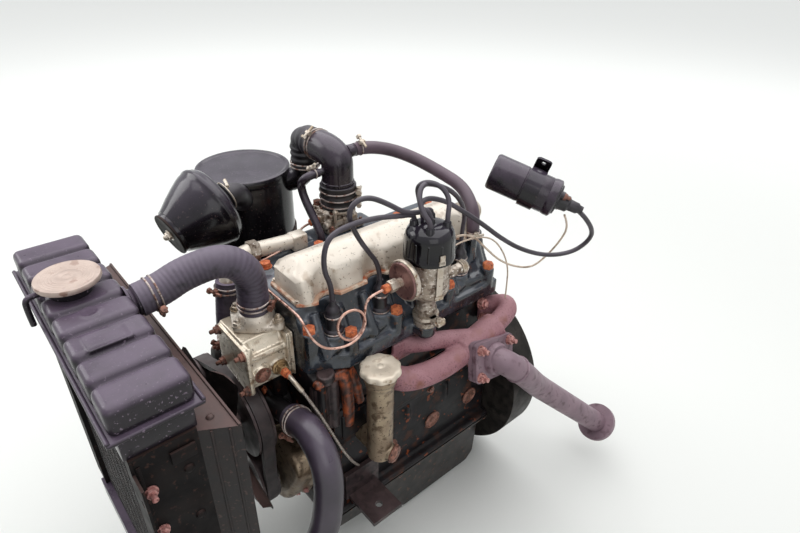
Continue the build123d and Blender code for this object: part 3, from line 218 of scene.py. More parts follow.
# Black paint on the cowl, turned brown-mauve by heat and dust on top.
BROWNED_BLACK = surface("browned_black_paint", "#141011", [("#241d1c", 26, 0.5, 0.12),
    ("#43322e", 5, 0.06, 0.03)], 0.50, 0.10, 0.0, [(7, 0.10), (1.4, 0.04)], 0.0, ("#614b48", 0.85), shine=0.3)
# Blue-grey engine paint over sand-cast iron: glossy, oil-stained, in lighter and darker patches, with a
# painted highlight where it faces up.
HEAD_PAINT = surface("engine_grey_on_cast_iron", "#1d2127", [("#373e48", 46, 0.40, 0.12),
    ("#101215", 24, 0.40, 0.10), ("#4f382f", 9, 0.07, 0.03)], 0.20, 0.09, 0.0, [(22, 0.6), (3.0, 0.06)], 0.35,
    ("#747a86", 0.42), shine=0.4)
# The same paint on the block, lost under oil and painted near black for the shade the block stands in, with
# orange rust where it has let go.
BLOCK_PAINT = surface("oily_and_shade_darkened_block_paint", "#0e0c0e", [("#1b181b", 34, 0.45, 0.12),
    ("#3c241b", 26, 0.14, 0.06), ("#7a3d22", 14, 0.02, 0.03)], 0.40, 0.12, 0.0, [(12, 0.35), (2.4, 0.08)],
    0.05, ("#3d393a", 0.35), shine=0.15)
# The block's front corner, where the paint is gone: wet orange and brown rust.
CORNER_RUST = surface("orange_rusted_iron", "#5d3324", [("#a6512a", 16, 0.42, 0.08),
    ("#2b2120", 10, 0.34, 0.08)], 0.50, 0.16, 0.1, [(6, 0.3), (1.8, 0.15)], 0.1)
# Bare iron casting rusted even by heat: mauve-pink, matt, finely stippled, with a painted highlight
# lightening what faces up.
MANIFOLD_RUST = surface("heat_rusted_iron", "#8a5c63", [("#9d7078", 30, 0.5, 0.14),
    ("#6b4249", 3.0, 0.20, 0.07), ("#7c4c40", 34, 0.14, 0.06)], 0.66, 0.10, 0.0, [(8, 0.25), (2.0, 0.30)],
    0.0, ("#b98d93", 0.55))
# Mild steel tube scaled by heat: mauve-grey, nearly smooth.
PIPE_SCALE = surface("scaled_exhaust_tube", "#75606a", [("#866f79", 40, 0.5, 0.14),
    ("#5c464e", 12, 0.16, 0.06)], 0.50, 0.10, 0.15, [(5, 0.06), (1.8, 0.05)], 0.0, ("#9c858f", 0.45))
# Aluminium paint on a pressed steel cover: cream-silver, yellowed in the folds, with a painted highlight
# where it faces up.
COVER_SILVER = surface("aluminium_paint", "#c3b6a7", [("#d6ccbf", 60, 0.5, 0.14), ("#a08c78", 20, 0.12, 0.05),
    ("#6b5646", 4, 0.03, 0.02)], 0.34, 0.08, 0.25, [(16, 0.10), (2.2, 0.03)], 0.0, ("#ddd5ca", 0.55))
# The same paint on the thermostat's casting, with oil and brown dirt in its corners, and a painted highlight
# where it faces up.
CASTING_SILVER = surface("aluminium_paint_on_casting", "#bfb09b",
    [("#d6cab8", 34, 0.48, 0.12), ("#8d755e", 14, 0.16, 0.06), ("#4a3a30", 4, 0.04, 0.02)], 0.30, 0.10, 0.45,
    [(9, 0.15), (2.2, 0.05)], 0.0, ("#dcd1bf", 0.4))
# Sand-cast aluminium gone brown: grainy, half bright.
BROWN_ALLOY = surface("browned_cast_aluminium", "#84725f", [("#a08f78", 28, 0.45, 0.12),
    ("#62503f", 14, 0.26, 0.06), ("#3a2d27", 4, 0.05, 0.02)], 0.38, 0.10, 0.65, [(5, 0.10), (1.6, 0.06)])
# Weathered alloy with white bloom, on small castings.
BRIGHT_ALLOY = surface("weathered_diecast_alloy", "#94877a", [("#b9aea3", 14, 0.42, 0.08),
    ("#5b4b3f", 10, 0.28, 0.06), ("#ddd6ce", 4, 0.08, 0.03)], 0.40, 0.12, 0.6, [(5, 0.15), (1.6, 0.08)])
# Nickel or cadmium plate worn to steel: pale, smooth, fine rust.
WORN_PLATE = surface("worn_plating", "#c0b5a8", [("#a5947f", 18, 0.28, 0.08), ("#7d5d45", 4, 0.05, 0.03)],
    0.30, 0.08, 0.55, [(2, 0.02)])
# The radiator cap's plate, gone chalky pink-cream.
CAP_PLATE = surface("chalky_cap_plate", "#a8958b", [("#bfaea4", 26, 0.48, 0.12), ("#84675a", 14, 0.16, 0.05)],
    0.50, 0.10, 0.3, [(2.2, 0.04)], 0.0, ("#bdaaa0", 0.5))
# The filler cap's plate: cream, brighter than the radiator's cap.
FILLER_PLATE = surface("bright_filler_plate", "#cbbdab", [("#dcd0bf", 26, 0.5, 0.10),
    ("#a38d74", 12, 0.14, 0.04)], 0.34, 0.08, 0.25, [(2, 0.02)], 0.0, ("#e2d6c4", 0.5))
# Steel bolt heads rusted orange on top.
ORANGE_BOLT = surface("orange_rusted_steel", "#b55a35", [("#d47a4c", 7, 0.45, 0.08),
    ("#6f3a28", 4, 0.16, 0.05)], 0.66, 0.10, 0.0, [(1.8, 0.08)])
# Steel heads gone dark brown, dull.
BROWN_BOLT = surface("brown_rusted_steel", "#6b473b", [("#8f6152", 7, 0.42, 0.08),
    ("#3c2823", 5, 0.22, 0.05)], 0.50, 0.12, 0.35, [(1.8, 0.06)])
# Steel nuts by the exhaust: rust baked to a pale pink.
PINK_BOLT = surface("heat_rusted_bolt", "#a7716c", [("#c2938d", 6, 0.40, 0.08), ("#6d443f", 4, 0.20, 0.05)],
    0.52, 0.12, 0.25, [(1.8, 0.06)])
# The bell housing's alloy under road oil, painted black-brown for the shade it lies in.
OILY_AND_SHADED_ALLOY = surface("oily_and_shade_darkened_alloy", "#221f1d", [("#37322f", 34, 0.42, 0.12),
    ("#141211", 16, 0.34, 0.08)], 0.46, 0.10, 0.2, [(6, 0.12), (1.8, 0.05)], 0.0, ("#423d39", 0.35),
    shine=0.2)
# Bronzed plate on the vacuum capsule: warm brown with a soft shine.
CAPSULE_BROWN = surface("brown_bronzed_plating", "#7d5b57", [("#95706b", 16, 0.42, 0.10),
    ("#55393a", 8, 0.2, 0.06)], 0.36, 0.08, 0.5, [(3, 0.03)])
# Brass gone dull brown-yellow.
BRASS = surface("dull_brass", "#8f7454", [("#ad9670", 9, 0.42, 0.08), ("#5c4632", 7, 0.26, 0.05)], 0.36, 0.10,
    0.75, [(2, 0.03)])
# Copper pipe dulled to pink.
COPPER = surface("pale_dull_copper", "#c69a8a", [("#deb8aa", 9, 0.46, 0.08), ("#8a5a4a", 6, 0.10, 0.05)],
    0.30, 0.10, 0.55, [(2, 0.02)])
# Galvanised wire, grey with a little rust.
WIRE_CLIP = surface("galvanised_wire", "#a99d98", [("#7d5f55", 7, 0.30, 0.06)], 0.34, 0.10, 0.7)
# Dark steel: turned pulleys and shafts under a brown-mauve oil film.
DARK_STEEL = surface("oil_browned_steel", "#342a2c", [("#4a3c3c", 20, 0.42, 0.10),
    ("#201a1b", 12, 0.3, 0.06)], 0.40, 0.10, 0.35, [(3, 0.04)], 0.0, ("#6d5a5a", 0.4))
# Where the cover's paint gives way to rust along its lip.
LIP_RUST = surface("rusted_cover_lip", "#b8967f", [("#a8552f", 18, 0.40, 0.08), ("#cfc1b0", 12, 0.34, 0.08)],
    0.52, 0.12, 0.2, [(3, 0.06)])
TAPE_PITCH = 6.5
# Cloth-wrapped rubber hose: matt, a faint purple-grey sheen, a painted purple-grey sheen of the sky where it
# faces up, a faint mark at each turn of the wrapping tape.
WRAPPED_RUBBER = surface("tape_wrapped_rubber", "#3d3541", [("#4d4452", 50, 0.5, 0.14),
    ("#2a242d", 14, 0.18, 0.08)], 0.55, 0.06, 0.0, [(2.4, 0.04)], 0.0, ("#766a7b", 0.65), (TAPE_PITCH, 0.10),
    ("#a59aac", 0.15))
# Moulded black rubber, smooth and a little shiny, with a painted mauve sheen where it faces up.
SMOOTH_RUBBER = surface("moulded_black_rubber", "#262029", [("#3a323d", 50, 0.4, 0.14)], 0.32, 0.06, 0.0,
    [(2.4, 0.02)], 0.1, ("#6b5f70", 0.6))
# Rubber hose browned by age, with a painted mauve sheen where it faces up.
BREATHER_RUBBER = surface("browned_hose_rubber", "#443640", [("#584853", 40, 0.45, 0.14)], 0.46, 0.06, 0.0,
    [(2.4, 0.03)], 0.0, ("#7a6672", 0.5))
# Moulded black rubber of boots and joints, matt under dust.
BLACK_RUBBER = surface("black_rubber", "#131114", [("#252127", 20, 0.35, 0.10)], 0.42, 0.08, 0.0, [(2, 0.03)],
    0.0, ("#4c444e", 0.5))
# Belt rubber worn brown.
BELT_RUBBER = surface("belt_rubber", "#231c1e", [("#352a2b", 20, 0.4, 0.10)], 0.55, 0.10, 0.0, [(2, 0.04)],
    0.0, ("#5d4c4c", 0.4))
# Grey-black lead covers with a faint shine and a painted highlight where they face up.
LEAD_SHEATH = surface("lead_sheath", "#383339", [("#4a444c", 40, 0.45, 0.12)], 0.38, 0.06, 0.0, [(2, 0.01)],
    0.0, ("#77707a", 0.45), shine=0.35)
# Phenolic moulding, polished by handling, with a painted highlight where it faces up.
PHENOLIC = surface("black_phenolic", "#070608", [("#100d10", 30, 0.3, 0.10)], 0.12, 0.04, 0.0, [(14, 0.10)],
    0.3, ("#413a48", 0.45), shine=0.25)
# Cotton-covered wire, cream and matt.
CREAM_WIRE = surface("cream_wire_cover", "#cdb9a7", [("#a08a78", 14, 0.2, 0.06)], 0.45, 0.08)
# The gauge tube's steel braid: grey, with a fine weave.
BRAID = surface("braided_steel", "#a39a92", [("#6b5f57", 2.2, 0.42, 0.06)], 0.38, 0.10, 0.55, [(1.6, 0.15)])
# Fins and tubes: black paint under road dust.
CORE_FIN = surface("dusty_core_fin", "#1c1a1b", [("#332c2a", 20, 0.4, 0.10)], 0.55, 0.10, 0.3, [(2, 0.04)])
# Black paint on the sump, thin and oily.
SUMP_PAINT = surface("sump_black", "#1c1a19", [("#2c2624", 34, 0.42, 0.12), ("#50382b", 10, 0.08, 0.03)],
    0.40, 0.10, 0.0, [(10, 0.12), (2, 0.03)], 0.0, ("#3d342f", 0.3))


# ---------------------------------------------------------------- forms

def facing(place, direction):
    """A frame at a place, with its Z along a direction."""
    return Matrix.Translation(Vector(place)) @ Vector(direction).to_track_quat("Z", "X").to_matrix().to_4x4()


def rounded(form, edges, width, steps=2):
    """Rounds edges off by a width in so many steps."""
    bmesh.ops.bevel(form, geom=list(edges), offset=width, offset_type="OFFSET", segments=steps, profile=0.5,
        affect="EDGES", clamp_overlap=True, material=-1)


def slab(form, x, d, z, edge=1.5, steps=2):
    """A plate or block between low and high places, with rounded edges."""
    middle = Vector(((x[0] + x[1]) / 2, (d[0] + d[1]) / 2, (z[0] + z[1]) / 2))
    size = (x[1] - x[0], d[1] - d[0], z[1] - z[0], 1)
    place = Matrix.Translation(middle) @ Matrix.Diagonal(size)
    made = bmesh.ops.create_cube(form, size=1, matrix=place)
    if edge:
        rounded(form, {e for v in made["verts"] for e in v.link_edges}, edge, steps)


def turned(form, place, direction, profile, steps=40):
    """A lathe-turned form: the profile gives radius and height along the direction."""
    lathe = facing(place, direction)
    verts = [form.verts.new(lathe @ Vector((radius, 0, height))) for radius, height in profile]
    edges = [form.edges.new(pair) for pair in zip(verts, verts[1:])]
    bmesh.ops.spin(form, geom=verts + edges, cent=Vector(place), axis=Vector(direction).normalized(),
        dvec=(0, 0, 0), angle=2 * pi, steps=steps, use_merge=True, use_normal_flip=False, use_duplicate=False)


def bar(form, start, end, radius, edge=1.0, far=None, steps=28):
    """A round bar, tapered where far gives its other radius, with its rims broken."""
    length = (Vector(end) - Vector(start)).length
    far = radius if far is None else far
    turned(form, start, Vector(end) - Vector(start), [(0, 0), (radius - edge, 0), (radius, edge),
        (far, length - edge), (far - edge, length), (0, length)], steps)


def hex_head(form, place, direction, flats, height, washer=0.0, stud=0.0):
    """A bolt head or nut, with a washer under it or a stud through it."""
    seat = facing(place, direction)
    radius = flats / 2 / cos(pi / 6)
    made = bmesh.ops.create_cone(form, cap_ends=True, segments=6, radius1=radius, radius2=radius,
        depth=height, matrix=seat @ Matrix.Translation((0, 0, height / 2)))
    top = {e for v in made["verts"] for e in v.link_edges
           if all((seat.inverted() @ end.co).z > height / 2 for end in e.verts)}
    rounded(form, top, min(1.2, height / 4))
    if washer:
        turned(form, place, direction, [(0, -0.2), (washer, -0.2), (washer, 1.5), (0, 1.5)], 24)
    if stud:
        turned(form, place, direction, [(0, 0), (flats * 0.3, 0), (flats * 0.3, height + stud - 1),
            (flats * 0.2, height + stud), (0, height + stud)], 16)


def wrapped(form, circles, levels, axis="d"):
    """A tight skin round circles (x, z or d, radius) at each (level, growth) along the axis d or z."""
    verts = []
    for level, growth in levels:
        for a, b, radius in circles:
            for step in range(28):
                angle = 2 * pi * step / 28
                u, v = a + (radius + growth) * cos(angle), b + (radius + growth) * sin(angle)
                verts.append(form.verts.new((u, level, v) if axis == "d" else (u, v, level)))
    made = bmesh.ops.convex_hull(form, input=verts, use_existing_faces=False)
    spare = {g for key in ("geom_interior", "geom_unused") for g in made[key]
        if isinstance(g, bmesh.types.BMVert)}
    bmesh.ops.delete(form, geom=[v for v in spare if v.is_valid], context="VERTS")


def drawn(form, outline, low, high, axis="d"):
    """An outline of (x, z) pairs drawn out along d, or of (x, d) pairs along z."""
    shift = (0, high - low, 0) if axis == "d" else (0, 0, high - low)
    face = form.faces.new([form.verts.new((a, low, b) if axis == "d" else (a, b, low)) for a, b in outline])
    made = bmesh.ops.extrude_face_region(form, geom=[face], use_keep_orig=True)
    bmesh.ops.translate(form, vec=shift, verts=[g for g in made["geom"] if isinstance(g, bmesh.types.BMVert)])


def lofted(form, rings):
    """Skins closed outlines that have the same number of corners, and closes both ends."""
    loops = []
    for ring in rings:
        verts = [form.verts.new(place) for place in ring]
        loops.append((verts, [form.edges.new((a, b)) for a, b in zip(verts, verts[1:] + verts[:1])]))
    for (_, near), (_, far) in zip(loops, loops[1:]):
        bmesh.ops.bridge_loops(form, edges=near + far)
    form.faces.new(loops[0][0])
    form.faces.new(loops[-1][0])


def steered(name, places, steps):
    """A smooth NURBS line that its corners steer from end to end."""
    curve = bpy.data.curves.new(name, "CURVE")
    curve.dimensions = "3D"
    curve.resolution_u = steps
    spline = curve.splines.new("NURBS")
    spline.points.add(len(places) - 1)
    for knot, place in zip(spline.points, places):
        knot.co = (*place, 1)
    spline.order_u = 3
    spline.use_endpoint_u = True
    return curve


def smooth_line(points, steps):
    """Places along the smooth line of a route."""
    curve = steered("route", points, steps)
    holder = bpy.data.objects.new("route", curve)
    line = bpy.data.meshes.new_from_object(holder)
    places = [v.co.copy() for v in line.vertices]
    bpy.data.objects.remove(holder)
    bpy.data.curves.remove(curve)
    bpy.data.meshes.remove(line)
    return places


def hose(form, points, radius, steps=12, sides=28, swell=None):
    """A hose along a route. swell gives how much thicker it is at a distance from its start."""
    marks = form.verts.layers.float.get("along") or form.verts.layers.float.new("along")
    places = smooth_line(points, steps)
    side = None
    length = 0.0
    loops = []
    for index, place in enumerate(places):
        ahead = (places[min(index + 1, len(places) - 1)] - places[max(index - 1, 0)]).normalized()
        side = (side - ahead * side.dot(ahead)).normalized() if side else ahead.orthogonal().normalized()
        if index:
            length += (place - places[index - 1]).length
        thick = radius + (swell(length) if swell else 0.0)
        up = ahead.cross(side)
        verts = [form.verts.new(place + (side * cos(2 * pi * k / sides)
            + up * sin(2 * pi * k / sides)) * thick) for k in range(sides)]
        for v in verts:
            v[marks] = length / 1000
        loops.append(verts)
    for near, far in zip(loops, loops[1:]):
        bmesh.ops.bridge_loops(form, edges=[form.edges.get(p) or form.edges.new(p) for ring in (near, far)
            for p in zip(ring, ring[1:] + ring[:1])])
    form.faces.new(loops[0])
    form.faces.new(loops[-1])


def handed_over(piece, nodes, body="engine"):
    """Puts a piece in the scene on its body and the CAD nodes that it stands for."""
    scene.collection.objects.link(piece)
    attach(piece, body)
    if nodes:
        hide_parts(*nodes)


def finished(form, name, finish, slot, nodes=(), body="engine", crease=40):
    """Turns a form in millimetres into a piece; edges that turn more than crease degrees stay sharp."""
    bmesh.ops.translate(form, vec=(0, BLOCK_FRONT, 0), verts=form.verts)
    bmesh.ops.scale(form, vec=(0.001, 0.001, 0.001), verts=form.verts)
    bmesh.ops.remove_doubles(form, verts=form.verts, dist=1e-6)
    bmesh.ops.recalc_face_normals(form, faces=form.faces)
    mesh = bpy.data.meshes.new(name)
    form.to_mesh(mesh)
    form.free()
    mesh.materials.append(finish)
    mesh.shade_smooth()
    mesh.set_sharp_from_angle(angle=radians(crease))
    piece = bpy.data.objects.new(name, mesh)
    handed_over(piece, nodes, body)
    return piece


def cast(form, name, finish, slot, nodes, grain, smoothing):
    """Melts overlapping forms into one casting with soft corners, as a foundry pattern gives."""
    piece = finished(form, name, finish, slot, nodes)
    melt = piece.modifiers.new("melt", "REMESH")
    melt.mode = "VOXEL"
    melt.voxel_size = grain / 1000
    melt.use_smooth_shade = True
    soften = piece.modifiers.new("soften", "SMOOTH")
    soften.factor = 0.5
    soften.iterations = smoothing
    melted = bpy.data.meshes.new_from_object(piece.evaluated_get(bpy.context.evaluated_depsgraph_get()))
    piece.modifiers.clear()
    old = piece.data
    piece.data = melted
    bpy.data.meshes.remove(old)
    melted.name = name
    melted.materials.clear()
    melted.materials.append(finish)
    melted.shade_smooth()


def cable(name, points, radius, finish, nodes=()):
    """A lead, wire or small pipe along a route."""
    curve = steered(name, [spot(place) for place in points], 10)
    curve.bevel_depth = radius / 1000
    curve.bevel_resolution = 4
    curve.use_fill_caps = True
    curve.materials.append(finish)
    handed_over(bpy.data.objects.new(name, curve), nodes)


def bolts(name, finish, slot, places, direction, *size, **more):
    """A piece of equal bolt heads or nuts."""
    form = bmesh.new()
    for place in places:
        hex_head(form, place, direction, *size)
    finished(form, name, finish, slot, **more)


def tube(name, finish, slot, nodes, *line):
    """A piece that is one hose."""
    form = bmesh.new()
    hose(form, *line)
    finished(form, name, finish, slot, nodes)


def onwards(start, through, distance):
    """A place past another on the line from a start."""
    start, through = Vector(start), Vector(through)
    return tuple(through + (through - start).normalized() * distance)


# ---------------------------------------------------------------- radiator

def header_tank():
    """Pressed panels, a rolled rim, the filler's neck and the hose's spigot."""
    form = bmesh.new()
    pitch = 2 * TANK_HALF / TANK_PANELS
    for index in range(TANK_PANELS):
        middle = -TANK_HALF + (index + 0.5) * pitch
        low = -TANK_HALF if index == 0 else middle - 21.5
        high = TANK_HALF if index == TANK_PANELS - 1 else middle + 21.5
        slab(form, (low, high), (-275, -187), (386, 423), 8, 4)
    slab(form, (-188, 188), (-271, -191), (386, 416), 6, 3)
    # A bare frame and a bare ring, raised on the panels.
    for x, d in (((60, 63), (-258, -210)), ((89, 92), (-258, -210)), ((60, 92), (-258, -255)),
            ((60, 92), (-213, -210))):
        slab(form, x, d, (420, 424), 1.2)
    turned(form, (17, -235, 421), UP, [(8, 0), (8, 2.4), (10, 3), (12, 2.4), (12, 0), (8, 0)], 28)
    cast(form, "header_tank_pressing", TANK_ENAMEL, "black_paint", ["header_tank"], 1.9, 4)

    form = bmesh.new()
    slab(form, (-197, 197), (-281, -181), (383, 389), 2.6, 3)
    for d in (-279, -183):
        bar(form, (-196, d, 389), (196, d, 389), 2.6, 1, steps=12)
    slab(form, (-187, 187), (-270, -192), (350, 384), 1.5)
    turned(form, (*FILLER_NECK, 418), UP, [(0, 0), (29, 0), (29, 3), (24, 5), (24, 13), (27, 15), (27, 18),
        (0, 18)])
    turned(form, (-5, -190, 400), BACK, [(0, 0), (24, 0), (24, 3), (19, 5), (18, 8), (20, 10), (20, 12),
        (18, 14), (18, 38), (0, 38)])
    finished(form, "header_tank_fittings", TANK_ENAMEL, "black_paint", ["header_tank"])
    cable("overflow_pipe", [(-46, -260, 429), (-45, -274, 430), (-44, -286, 429), (-44, -288, 418),
        (-44, -287, 392)], 3.6, TANK_ENAMEL)


def radiator_cap():
    """A plated disc with the fine rings of a spun cap."""
    form = bmesh.new()
    profile = [(0, 0), (31, 0), (36.5, 1.2), (37.5, 3), (37.5, 6.2), (36.6, 7.8), (34.5, 8.2), (33, 7.8)]
    for groove in (30.5, 27, 23.5, 20, 16.5):
        profile += [(groove + 1, 7.6), (groove, 7.1), (groove - 1, 7.5)]
    profile += [(12.5, 7.5), (10, 8.2), (7.5, 7.2), (4.6, 7.0), (3.2, 8.0), (0, 8.0)]
    turned(form, (*FILLER_NECK, 437), UP, profile, 64)
    finished(form, "radiator_cap_disc", CAP_PLATE, "plated_steel", ["radiator_cap"])


def radiator_core():
    """Thin fins in banks, and the tubes and the solid core behind them."""
    form = bmesh.new()
    pitch = 2 * CORE_HALF / CORE_BANKS
    for bank in range(CORE_BANKS):
        low = -CORE_HALF + bank * pitch + (4 if bank else 0)
        high = -CORE_HALF + (bank + 1) * pitch - (4 if bank < CORE_BANKS - 1 else 0)
        for step in range(FINS):
            z = -38 + step * FIN_PITCH
            slab(form, (low, high), (-260, -202), (z, z + 1.4), 0)
    finished(form, "core_fins", CORE_FIN, "worn_black_paint", ["radiator_core"])
    form = bmesh.new()
    slab(form, (-CORE_HALF, CORE_HALF), (-253, -209), (-40, 350), 0)
    for bank in range(CORE_BANKS):
        for share in (0.3, 0.7):
            x = -CORE_HALF + (bank + share) * pitch
            slab(form, (x - 1.5, x + 1.5), (-257, -205), (-40, 350), 0)
    for z in (-40, 342):
        slab(form, (-CORE_HALF, CORE_HALF), (-260, -202), (z, z + 8), 0)
    finished(form, "core_tubes", CORE_FIN, "worn_black_paint", ["radiator_core"])


def radiator_sides():
    """Rivets, lugs and bolts on the side plates."""
    form = bmesh.new()
    for side in (-1, 1):
        x = sorted((side * SIDE_FACE, side * 191.6))
        slab(form, x, (-262, -258), (-30, 338), 0.6)
        for z in (-20, 60, 140, 220, 300):
            turned(form, (side * 190, -212, z), (side, 0, 0), [(0, 0), (6, 0), (5, 2.4), (2.5, 3.4),
                (0, 3.6)], 16)
        slab(form, sorted((side * SIDE_FACE, side * 194)), (-228, -200), (318, 336), 1.2)
    slab(form, (-190, 190), (-264.5, -262), (330, 348), 0.8)
    finished(form, "radiator_side_trim", DULL_BLACK, "black_paint")
    form = bmesh.new()
    for side in (-1, 1):
        for z in (90, 230, 296):
            hex_head(form, (side * SIDE_FACE, -255, z), (side, 0, 0), 12, 6, 8, 9)
    finished(form, "radiator_side_bolts", PINK_BOLT, "bare_steel")


def fan_cowl_trim():
    """Fold lines, a lip and rivets on the cowl."""
    form = bmesh.new()
    for side in (-1, 1):
        for t in (0.3, 0.72):
            x = side * (190 + 23 * t)
            d = -195 + 40 * t
            slab(form, sorted((x - side * 0.5, x + side * 1.6)), (d - 1.5, d + 1.5), (-38, 344), 0.5)
    slab(form, (-212, 212), (-158, -154.5), (343, 348.5), 1.2)
    for x in range(-180, 190, 60):
        turned(form, (x, -176, 345.8), UP, [(0, 0), (5, 0), (4, 2), (2, 3), (0, 3.1)], 14)
    finished(form, "cowl_folds", BROWNED_BLACK, "worn_black_paint")


# ---------------------------------------------------------------- cooling

TOP_HOSE = [(*WATER_OUTLET, 330), (*WATER_OUTLET, 352), (*WATER_OUTLET, 394), (6, -62, 425), (-5, -114, 417),
    (-5, -150, 404), (-5, -177, 401)]
INLET_START = (84.0, -28.0, PUMP_Z + 34)
INLET_END = (112.0, -28.0, PUMP_Z + 42)
BOTTOM_HOSE = [INLET_START, onwards(INLET_START, INLET_END, 4), onwards(INLET_START, INLET_END, 20),
    (170, -28, 158), (188, -34, 104), (196, -54, 30), (182, -92, -36), (150, -130, -68), (150, -156, -68),
    (150, -180, -68)]
BYPASS_LOW = (-52.0, -50.0, 236.0)
BYPASS_BEND = (-52.0, -50.0, 282.0)
BYPASS_HIGH = (-54.0, -44.0, 318.0)


def coolant_hoses():
    """Top, bottom and bypass hoses; the wrapping tape's turns stand a little proud."""
    tube("top_hose", WRAPPED_RUBBER, "hose_rubber", ["coolant_hoses"], TOP_HOSE, 22.2, 26, 36,
        lambda s: 0.10 * sin(2 * pi * s / TAPE_PITCH))
    tube("bottom_hose", SMOOTH_RUBBER, "hose_rubber", ["coolant_hoses"], BOTTOM_HOSE, 22.0, 10, 36)
    tube("bypass_hose", WRAPPED_RUBBER, "hose_rubber", ["coolant_hoses"],
         [BYPASS_LOW, (-52, -50, 262), BYPASS_BEND, onwards(BYPASS_BEND, BYPASS_HIGH, 30)], 17.0, 10, 32)


def wire_clip(form, lugs, place, direction, radius, lug_side, turns=2):
    """A wire clip of one or two turns, with its clamping screw."""
    axis = Vector(direction).normalized()
    for turn in range(turns):
        centre = Vector(place) + axis * (turn - (turns - 1) / 2) * 7
        turned(form, centre, axis, [(radius + 1.4 * cos(2 * pi * k / 8), 1.4 * sin(2 * pi * k / 8))
            for k in range(9)], 44)
    out = Vector(lug_side) - axis * Vector(lug_side).dot(axis)
    out.normalize()
    along = axis.cross(out)
    lug = Vector(place) + out * (radius + 4)
    bar(lugs, lug - axis * 5, lug + axis * 5, 4.2, 0.6, steps=14)
    bar(lugs, lug - along * 9 + out * 1.5, lug + along * 13 + out * 1.5, 2.4, 0.5, steps=12)
    hex_head(lugs, lug - along * 13 + out * 1.5, along, 8.5, 4.5)


def hose_clips():
    """Wire clips on the coolant hoses."""
    rings, lugs = bmesh.new(), bmesh.new()
    inlet = Vector(INLET_END) - Vector(INLET_START)
    wire_clip(rings, lugs, (*WATER_OUTLET, 342), UP, 23.2, (0.6, 0.5, 0))
    wire_clip(rings, lugs, (-5, -157, 403), (0, 1, 0.1), 23.2, (0.8, 0, -0.6))
    wire_clip(rings, lugs, onwards(INLET_START, INLET_END, -14), inlet, 23.2, (0.2, -0.8, -0.6))
    wire_clip(rings, lugs, (-52, -50, 249), UP, 18.2, (0.3, -0.9, 0))
    wire_clip(rings, lugs, onwards(BYPASS_BEND, BYPASS_HIGH, 18), Vector(BYPASS_HIGH) - Vector(BYPASS_BEND),
        18.2, (0.3, -0.9, 0))
    finished(rings, "wire_clip_rings", WIRE_CLIP, "bare_steel", ["hose_clips"])
    finished(lugs, "wire_clip_screws", BROWN_BOLT, "bare_steel", ["hose_clips"])


def thermostat():
    """The housing on the head's front, its bolted outlet, a plug and the gauge's sender."""
    form = bmesh.new()
    drawn(form, [(-22, 229), (54, 229), (54, 283), (36, 303), (30, 305), (-22, 305)], -68, -4)
    slab(form, (-31, 40), (-71, -3), (296, 305), 3, 3)
    slab(form, (49, 57), (-71, -6), (277, 287), 3, 3)
    slab(form, (34, 57), (-71, -64), (277, 303), 3, 3)
    for d in ((-12, -8), (-4, -0.5)):
        slab(form, (-27, 60), d, (223, 303), 1.5, 2)
    slab(form, (-24, 57), (-12, -0.5), (224, 300), 2, 2)
    bar(form, (46, *PLUG_HOLE), (59, *PLUG_HOLE), 14, 2)
    bar(form, (46, *SENDER), (58, *SENDER), 13, 2)
    wrapped(form, [(*corner, radius) for corner, radius in zip(THERMOSTAT_CORNERS, (9, 9, 8, 8))],
        [(-76, -1), (-75, 0), (-71, 0), (-69, -1)])
    cast(form, "thermostat_casting", CASTING_SILVER, "head_paint", ["thermostat_housing"], 1.5, 3)
    form = bmesh.new()
    turned(form, (*WATER_OUTLET, 306), UP, [(0, 0), (28, 0), (28, 10), (27, 16), (24, 21), (20, 24), (19, 27),
        (19, 34), (20, 36), (18.3, 38), (18, 46), (0, 46)])
    wrapped(form, [(*WATER_OUTLET, 27), (-22, -46, 9), (42, -12, 9), (10, -60, 8)],
        [(306, 0), (313, 0), (314.5, -1.5)], "z")
    for x, d in OUTLET_HOLES[:2]:
        bar(form, (x, d, 308), (x, d, 319), 8.5, 1.5)
    cast(form, "thermostat_outlet_casting", COVER_SILVER, "alloy", ["thermostat_outlet"], 1.5, 4)
    bolts("thermostat_outlet_nuts", WORN_PLATE, "plated_steel", [(*place, z)
        for place, z in zip(OUTLET_HOLES, (318, 318, 314))], UP, 12, 6.5, 8.5, 5)
    bolts("thermostat_front_bolts", BROWN_BOLT, "bare_steel", [(x, -76, z) for x, z in THERMOSTAT_CORNERS],
        FRONT, 11, 7, 8, 7)
    form = bmesh.new()
    turned(form, (58, *PLUG_HOLE), NEAR, [(9, 0), (12.5, 0), (12.5, 1.6), (9, 1.6), (9, 0)], 28)
    hex_head(form, (58.5, *PLUG_HOLE), NEAR, 16, 6)
    finished(form, "thermostat_plug", BROWN_BOLT, "brass")
    form = bmesh.new()
    turned(form, (57, *SENDER), NEAR, [(0, 0), (12.5, 0), (12.5, 3), (10, 4), (10, 6), (8.6, 6.6),
        (0, 6.6)], 28)
    hex_head(form, (63, *SENDER), NEAR, 15, 8)
    finished(form, "sender_body", BRASS, "brass")


def gauge_capillary():
    """The gauge's braided tube, from its union down to the water pump."""
    form = bmesh.new()
    hex_head(form, (71, *SENDER), NEAR, 12, 8)
    bar(form, (79, *SENDER), (86, -26, 249), 4.2, 0.8)
    finished(form, "capillary_union", ORANGE_BOLT, "brass", ["gauge_capillary"])
    cable("capillary", [(84, *SENDER), (94, -26, 249), (104, -22, 240), (120, -12, 212), (132, 6, 160),
        (138, 26, 100), (134, 48, 52), (120, 66, 22)], 2.4, BRAID, ["gauge_capillary"])
    cable("capillary_cover", [(84, *SENDER), (93, -26, 249), (101, -24, 243), (107, -20, 234)], 3.6,
        WORN_PLATE)


